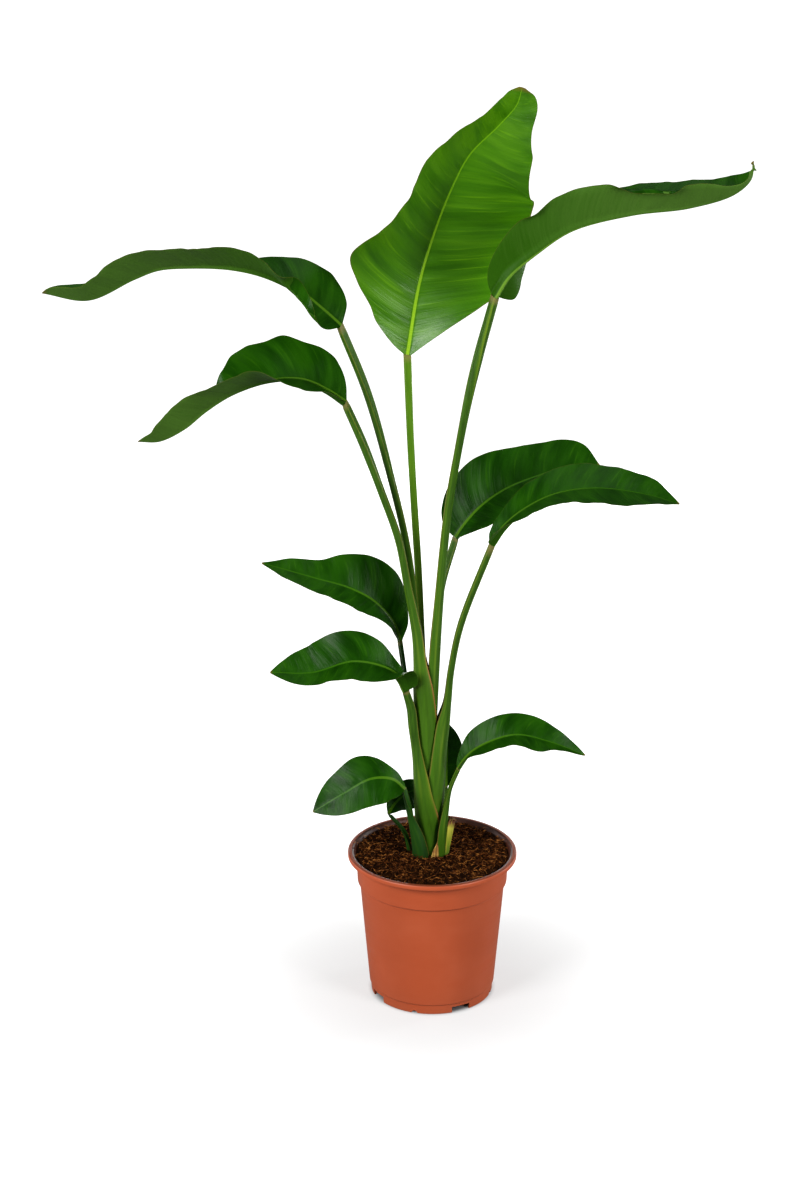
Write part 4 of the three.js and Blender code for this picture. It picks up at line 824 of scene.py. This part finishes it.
# Stalks: fleshy, round at the back with a channel in front, each widening downward into a sheath. The sheaths
# of stalks 1 to 6 and 8 clasp each other from the inside out; the others stand beside them.
# rows: x, y, z, depth, breadth in mm, and how far round the two edges reach, in degrees.
CLEARANCE, TOP_WRAP = 0.3, 112
TO_LEFT, TO_RIGHT = (-1, 0, 0), (1, 0, 0)
stalks = {
    1: {"back": (0, 1, 0),
        "rows": [[-5, 0, 278, 6, 6, 178], [-7, 3, 340, 8, 8, 150], [-12, 5, 450, 7, 9, 118],
            [-16, 7, 536, 7, 9.5, 112], [-21, 12, 640, 7.5, 10, 112], [-27, 19, 735, 7.5, 9.8, 112],
            [-32, 23, 827, 7.5, 9.8, 112]]},
    2: {"back": TO_RIGHT,
        "rows": [[-5, 0, 266, 10, 10, 178], [-5, 0, 290, 11.6, 11.6, 170], [-4, -2, 340, 12, 14, 150],
            [0, -3, 420, 12, 17, 130], [1.5, -5, 500, 15.5, 16, 118], [8, -9, 600, 12.5, 14, 112],
            [20, -17, 735, 11, 13, 112], [41, -28, 866, 10, 12.5, 112], [60, -36, 955, 11, 12.5, 112]]},
    3: {"back": TO_LEFT,
        "rows": [[-5, 0, 254, 14, 14, 178], [-5, 0, 290, 16.6, 16.6, 172], [-10, 2, 340, 14, 18, 150],
            [-17, 5, 440, 10, 13, 120], [-21, 6, 536, 9.5, 12, 115], [-36, 6, 667, 9.5, 12, 112],
            [-60, 7, 774, 9, 11.5, 112], [-90, 8, 885, 9.5, 11.5, 112]]},
    5: {"back": TO_RIGHT,
        "rows": [[-5, 0, 242, 17, 17, 178], [-5, 0, 290, 21.6, 21.6, 172], [-1, 3, 340, 19, 22, 150],
            [0, 8, 440, 9, 13, 118], [4, 17, 530, 8, 10.5, 112], [13, 30, 605, 7.5, 10, 112]]},
    4: {"back": TO_LEFT,
        "rows": [[-5, 0, 230, 18, 18, 178], [-5, 0, 290, 27, 27, 178], [-8, 0, 350, 32, 33, 168],
            [-10, -1, 417, 32, 33, 155], [-14, -4, 469, 27.6, 32, 134], [-18, -5, 505, 19, 25, 122],
            [-22, -6, 545, 15, 19, 116], [-35, -8, 615, 11, 14.5, 112], [-48, -10, 685, 9.8, 13, 112],
            [-72, -11, 756, 9.5, 12.5, 112], [-96, -12, 822, 10, 12.5, 112]]},
    6: {"back": TO_RIGHT,
        "rows": [[-5, 0, 216, 20, 20, 178], [-5, 0, 250, 26, 26, 178], [-3, 0, 290, 38, 38, 170],
            [5.75, 0, 332, 25.5, 41, 110], [10, -1, 376, 21, 36, 108], [14.5, -3, 413, 19, 23, 108],
            [20, -6, 445, 11.5, 15, 112], [25, -11, 495, 9, 12, 112], [38, -18, 565, 8.6, 11.5, 112]]},
    8: {"back": TO_LEFT,
        "rows": [[-5, 0, 150, 25, 25, 178], [-5, 0, 215, 28, 28, 176], [-6, 0, 247, 31.6, 31.6, 165],
            [-8, 0, 270, 34, 37, 136], [-13, 0, 305, 27, 44, 106], [-16.5, -2, 335, 22, 43, 94],
            [-20, -5, 360, 17, 34, 94], [-24, -8, 385, 14, 23, 98], [-28, -12, 413, 13, 16, 106],
            [-31, -15, 439, 11.5, 13.5, 112]]},
    7: {"back": TO_LEFT,
        "rows": [[-16, 17, 160, 5, 5, 150], [-18, 18, 215, 5.5, 5.5, 140], [-22, 20, 294, 5.5, 6, 120],
            [-26, 20, 360, 5.5, 6, 112], [-35, 18, 440, 5.5, 6.5, 112]]},
    11: {"back": (0.3, 1, 0),
        "rows": [[12, 26, 170, 5, 5, 140], [14, 27, 215, 5, 5, 125], [17, 29, 258, 4.5, 5, 112]]},
    12: {"back": (-1, -0.2, 0),
        "rows": [[-27, 6, 165, 5.5, 5.5, 140], [-32, 5, 207, 6, 6, 125], [-40, 4, 242, 5.5, 6, 112]]},
    10: {"back": (-0.8, -0.6, 0),
        "rows": [[-15, -11, 165, 16, 18, 140], [-18, -13, 213, 19, 24, 130], [-22, -16, 240, 16, 20, 122],
            [-29, -20, 270, 10.5, 13, 112], [-36, -24, 300, 7, 8.5, 112]]},
    9: {"back": TO_RIGHT,
        "rows": [[10, -9, 165, 12, 14, 130], [12, -10, 215, 13, 16, 125], [15, -12, 255, 13, 15, 118],
            [19, -13, 287, 9, 10, 112], [25, -15, 318, 5.2, 6.5, 112]]},
}
ARC_STEPS, CHANNEL_STEPS, ROWS_PER_STATION = 30, 10, 8


def stalk_section(depth, breadth, wrap):
    """One section: the arc round the back, then the channel, as steps back and sideways in mm; and how near
    each point is to one of the two edges."""
    turn = math.radians(wrap)
    edge = math.cos(turn)
    hollow = 0.12 * min(1, max(0, (170 - wrap) / 50)) * (1 - edge)
    arc = np.linspace(-turn, turn, ARC_STEPS + 1)
    side = np.linspace(1, -1, CHANNEL_STEPS + 1)[1:-1]
    back = np.concatenate([np.cos(arc), edge + hollow * (1 - side ** 4)])
    sideways = np.concatenate([np.sin(arc), math.sin(turn) * side])
    near_edge = np.concatenate([np.abs(arc) / turn, np.abs(side)])
    back = (back - (1 + edge) / 2) / (1 - edge) * depth
    return back, sideways * breadth / 2, near_edge


def stalk_mesh(name, stalk, leaf=None, grow=0.0):
    """A stalk swept up its rows to just under its blade, closed at both ends; with the places it was built
    from, for painting. grow widens it all round, to cut a neighbour clear of it."""
    rows = [list(r) for r in stalk["rows"]]
    back_low = np.array([stalk["back"]], float)
    head_back = back_low
    head_tangent = None
    if leaf:
        place, tangent, up, near, _ = blade_frames(leaf, np.array([0.0]))
        depth, breadth = leaf["neck"]
        top = place[0] - up[0] * depth / 2 + tangent[0] * (grow - CLEARANCE)
        rows.append([*top, depth, breadth, TOP_WRAP])
        head_tangent, head_back = tangent[0], -up
    stations = len(rows) - 1
    t = np.linspace(0, 1, stations * ROWS_PER_STATION + 1)
    path = np.array([r[:3] for r in rows], float)
    centre = along_curve(path, t)
    tangent = heading(path, t)
    if leaf:
        tangent[-1] = head_tangent
    start = 1 - 3 / (stations if leaf else stations + 1)
    toward = eased(np.clip((t - start) / (1 - start), 0, 1))[:, None]
    back = squared(back_low * (1 - toward) + head_back * toward, tangent)
    across = np.cross(tangent, back)
    centre[0] -= tangent[0] * grow
    if not leaf:
        centre[-1] += tangent[-1] * grow
    depth, breadth, wrap = (through([[k / stations, r[c]] for k, r in enumerate(rows)], t) for c in (3, 4, 5))
    points, marks = [], []
    for k in range(len(t)):
        a, b, near_edge = stalk_section(depth[k] + 2 * grow, breadth[k] + 2 * grow, wrap[k])
        ring = centre[k] + a[:, None] * back[k] + b[:, None] * across[k]
        if k == len(t) - 1 and stalk.get("torn"):
            jag = np.sin(np.arange(len(a)) * 2.4) + 0.6 * np.sin(np.arange(len(a)) * 1.1 + 1)
            ring = ring + stalk["torn"] * 0.6 * jag[:, None] * tangent[k]
        points.append(ring)
        round_it = np.arange(len(a)) / len(a)
        marks.append(np.column_stack([np.full(len(a), t[k]), near_edge, np.full(len(a), wrap[k]), round_it]))
    sides = len(points[0])
    verts = np.concatenate(points)
    faces = []
    for s in range(len(t) - 1):
        for k in range(sides):
            a, b = s * sides + k, s * sides + (k + 1) % sides
            faces.append((a, b, b + sides, a + sides))
    for s in (0, len(t) - 1):
        middle = len(verts)
        verts = np.vstack([verts, points[s].mean(0)])
        marks.append([[t[s], 0.0, wrap[s], 0.5]])
        for k in range(sides):
            faces.append((s * sides + k, s * sides + (k + 1) % sides, middle))
    mesh = bpy.data.meshes.new(name)
    mesh.from_pydata((verts * MM).tolist(), [], faces)
    return facing_out(mesh), verts * MM, np.concatenate(marks)


def cut_clear(mesh, cutters):
    """The mesh without what its neighbours take up: the largest body that is left."""
    carrier = bpy.data.objects.new("carrier", mesh)
    scene.collection.objects.link(carrier)
    others = []
    for other in cutters:
        tool = bpy.data.objects.new("cutter", other)
        scene.collection.objects.link(tool)
        others.append(tool)
        modifier = carrier.modifiers.new("cut", "BOOLEAN")
        modifier.operation = "DIFFERENCE"
        modifier.solver = "MANIFOLD"
        modifier.object = tool
    bpy.context.view_layer.update()
    result = bpy.data.meshes.new_from_object(carrier.evaluated_get(bpy.context.evaluated_depsgraph_get()))
    for thing in [carrier, *others]:
        bpy.data.objects.remove(thing)
    build = bmesh.new()
    build.from_mesh(result)
    build.faces.ensure_lookup_table()
    left = set(build.faces)
    bodies = []
    while left:
        first = left.pop()
        body, front = {first}, [first]
        while front:
            for edge in front.pop().edges:
                for face in edge.link_faces:
                    if face in left:
                        left.discard(face)
                        body.add(face)
                        front.append(face)
        bodies.append(body)
    largest = max(bodies, key=lambda b: sum(f.calc_area() for f in b))
    bmesh.ops.delete(build, geom=[f for f in build.faces if f not in largest], context="FACES")
    build.to_mesh(result)
    build.free()
    return result


def marked(mesh, places, marks, labels=("along", "edge", "wrap", "round")):
    """Point values carried over from the swept surface to the cut one, by nearest place."""
    tree = KDTree(len(places))
    for k, place in enumerate(places):
        tree.insert(place, k)
    tree.balance()
    nearest = [tree.find(v.co)[1] for v in mesh.vertices]
    for c, label in enumerate(labels):
        values = marks[nearest, c].astype(np.float32)
        mesh.attributes.new(label, "FLOAT", "POINT").data.foreach_set("value", values)


clasped = []


def cleared(name, stalk, leaf=None):
    """A stalk's mesh, cut clear of those already in place and marked for painting."""
    mesh, places, marks = stalk_mesh(name, stalk, leaf)
    if clasped:
        mesh = cut_clear(mesh, clasped)
        mesh.name = name
    clasped.append(stalk_mesh(name + "_grown", stalk, leaf, CLEARANCE)[0])
    marked(mesh, places, marks)
    return mesh


def stalk_material(name, low, high, pale, dry_edge):
    """Stalk skin: striped lengthwise, darker towards the soil by painted shade, with dry light edges on the
    sheath and a browned joint under the blade."""
    material, tree, main, place = shader(name)
    along, edge, wrap, around = (attribute(tree, k) for k in ("along", "edge", "wrap", "round"))
    height = node(tree, "ShaderNodeSeparateXYZ", {"Vector": place}).outputs["Z"]
    lines = clouded(tree, drawn_out(tree, place, 0.05), 420.0)
    stripe = node(tree, "ShaderNodeCombineXYZ", {"X": times(tree, around, 7.0), "Y": times(tree, along, 1.6)})
    stripes = clouded(tree, stripe.outputs[0], 1.0, 1.0)
    colour = ramp(tree, along, [(0.0, low), (0.3, low), (0.75, high)])
    colour = blend(tree, fade(tree, stripes, -4.0, 2.0), colour, tuple(0.45 * c for c in low))
    colour = blend(tree, fade(tree, lines, 1.2, -0.45), colour, tuple(1.35 * c for c in low))
    colour = blend(tree, fade(tree, stripes, 4.0, -2.1), colour, pale)
    sheath = fade(tree, wrap, 1 / 12, -115 / 12)
    margin = times(tree, fade(tree, edge, 18.0, -16.7), math_node(tree, "MULTIPLY_ADD", sheath, 0.7, 0.3))
    colour = blend(tree, margin, colour, dry_edge)
    joint = fade(tree, along, 90.0, -88.6)
    colour = blend(tree, times(tree, joint, 0.7), colour, (0.20, 0.17, 0.06))
    # Painted shade: the skin turns up to half darker towards the soil.
    foot = fade(tree, height, -7.0, 2.35)
    colour = blend(tree, times(tree, foot, 0.5), colour, tuple(0.35 * c for c in low))
    shine = ramp(tree, clouded(tree, place, 28.0, 3.0), [(0.3, (0.42,) * 3), (0.7, (0.54,) * 3)])
    connect(tree, main, {"Base Color": colour, "Roughness": shine, "Specular IOR Level": 0.25})
    bumped(tree, main, lines, 0.0003, 0.5)
    return material


green_stalk = stalk_material("stalk_skin", low=(0.052, 0.128, 0.006), high=(0.034, 0.092, 0.006),
                             pale=(0.15, 0.23, 0.016), dry_edge=(0.33, 0.14, 0.05))
# Painted shade: a darker copy of the stalk skin, for stalks 7, 10 and 12, which stand in shade.
shaded_stalk_skin = stalk_material("shaded_stalk_skin", low=(0.018, 0.072, 0.008), high=(0.020, 0.080, 0.006),
                            pale=(0.05, 0.13, 0.010), dry_edge=(0.24, 0.10, 0.04))
young_stalk = stalk_material("young_stalk_skin", low=(0.10, 0.20, 0.008), high=(0.07, 0.17, 0.005),
                             pale=(0.16, 0.26, 0.02), dry_edge=(0.20, 0.28, 0.06))
skins = {1: young_stalk, 7: shaded_stalk_skin, 10: shaded_stalk_skin, 12: shaded_stalk_skin}

for number, stalk in stalks.items():
    mesh = cleared(f"stalk_{number:02d}", stalk, leaves[number])
    piece = finished(f"stalk_{number:02d}", mesh, skins.get(number, green_stalk), sharp=35)
    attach(piece, "root")
    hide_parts(f"leaf_stalk_{number:02d}")


# Stub: what is left of a stalk that was cut off and has begun to dry, yellow-green with a ragged brown top.
# It stands in the soil beside stalk 9.
stub = {"back": TO_RIGHT, "torn": 3,
        "rows": [[14, -4, 175, 13, 15, 125], [17, -6, 215, 13.5, 16, 118], [21, -8, 238, 12.5, 14, 112],
                 [28, -9.5, 268, 9.5, 12, 108]]}
stub_skin, tree, main, place = shader("cut_stub_skin")
along, edge = attribute(tree, "along"), attribute(tree, "edge")
lines = clouded(tree, drawn_out(tree, place, 0.06), 380.0, 3.0)
colour = ramp(tree, along, [
    (0.3, (0.06, 0.15, 0.008)), (0.62, (0.20, 0.27, 0.015)), (0.88, (0.40, 0.38, 0.05)),
    (0.97, (0.12, 0.05, 0.02))])
colour = blend(tree, fade(tree, lines, 3.0, -1.5), colour, (0.42, 0.36, 0.05))
colour = blend(tree, fade(tree, lines, -5.0, 2.0), colour, (0.10, 0.045, 0.012))
colour = blend(tree, fade(tree, edge, 20.0, -18.4), colour, (0.16, 0.06, 0.02))
connect(tree, main, {"Base Color": colour, "Roughness": 0.6})
bumped(tree, main, lines, 0.0005, 0.7)
piece = finished("stub_of_cut_stalk", cleared("cut_stub", stub), stub_skin, sharp=35)
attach(piece, "root")
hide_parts("cut_stub")


# Dry scrap: the papery brown rest of an old sheath that clings to the front of the stem's foot, drying where
# it grew.
scrap = {"back": (0.1, -1, 0),
         "rows": [[3, -17, 190, 5, 13, 110], [4.5, -17.5, 214, 4.5, 12, 110], [6.5, -17.5, 227, 3.4, 7, 110],
                  [9.5, -16.5, 240, 2, 2, 110]]}
dry_paper, tree, main, place = shader("dry_sheath_skin")
lines = clouded(tree, drawn_out(tree, place, 0.08), 500.0, 3.0)
paper = ramp(tree, lines, [(0.36, (0.07, 0.022, 0.006)), (0.5, (0.25, 0.12, 0.025)),
                           (0.66, (0.52, 0.36, 0.09))])
connect(tree, main, {"Base Color": paper, "Roughness": 0.85})
bumped(tree, main, lines, 0.0008, 0.9)
piece = finished("dry_sheath_scrap", cleared("dry_sheath", scrap), dry_paper, sharp=35)
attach(piece, "root")
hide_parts("dry_sheath")
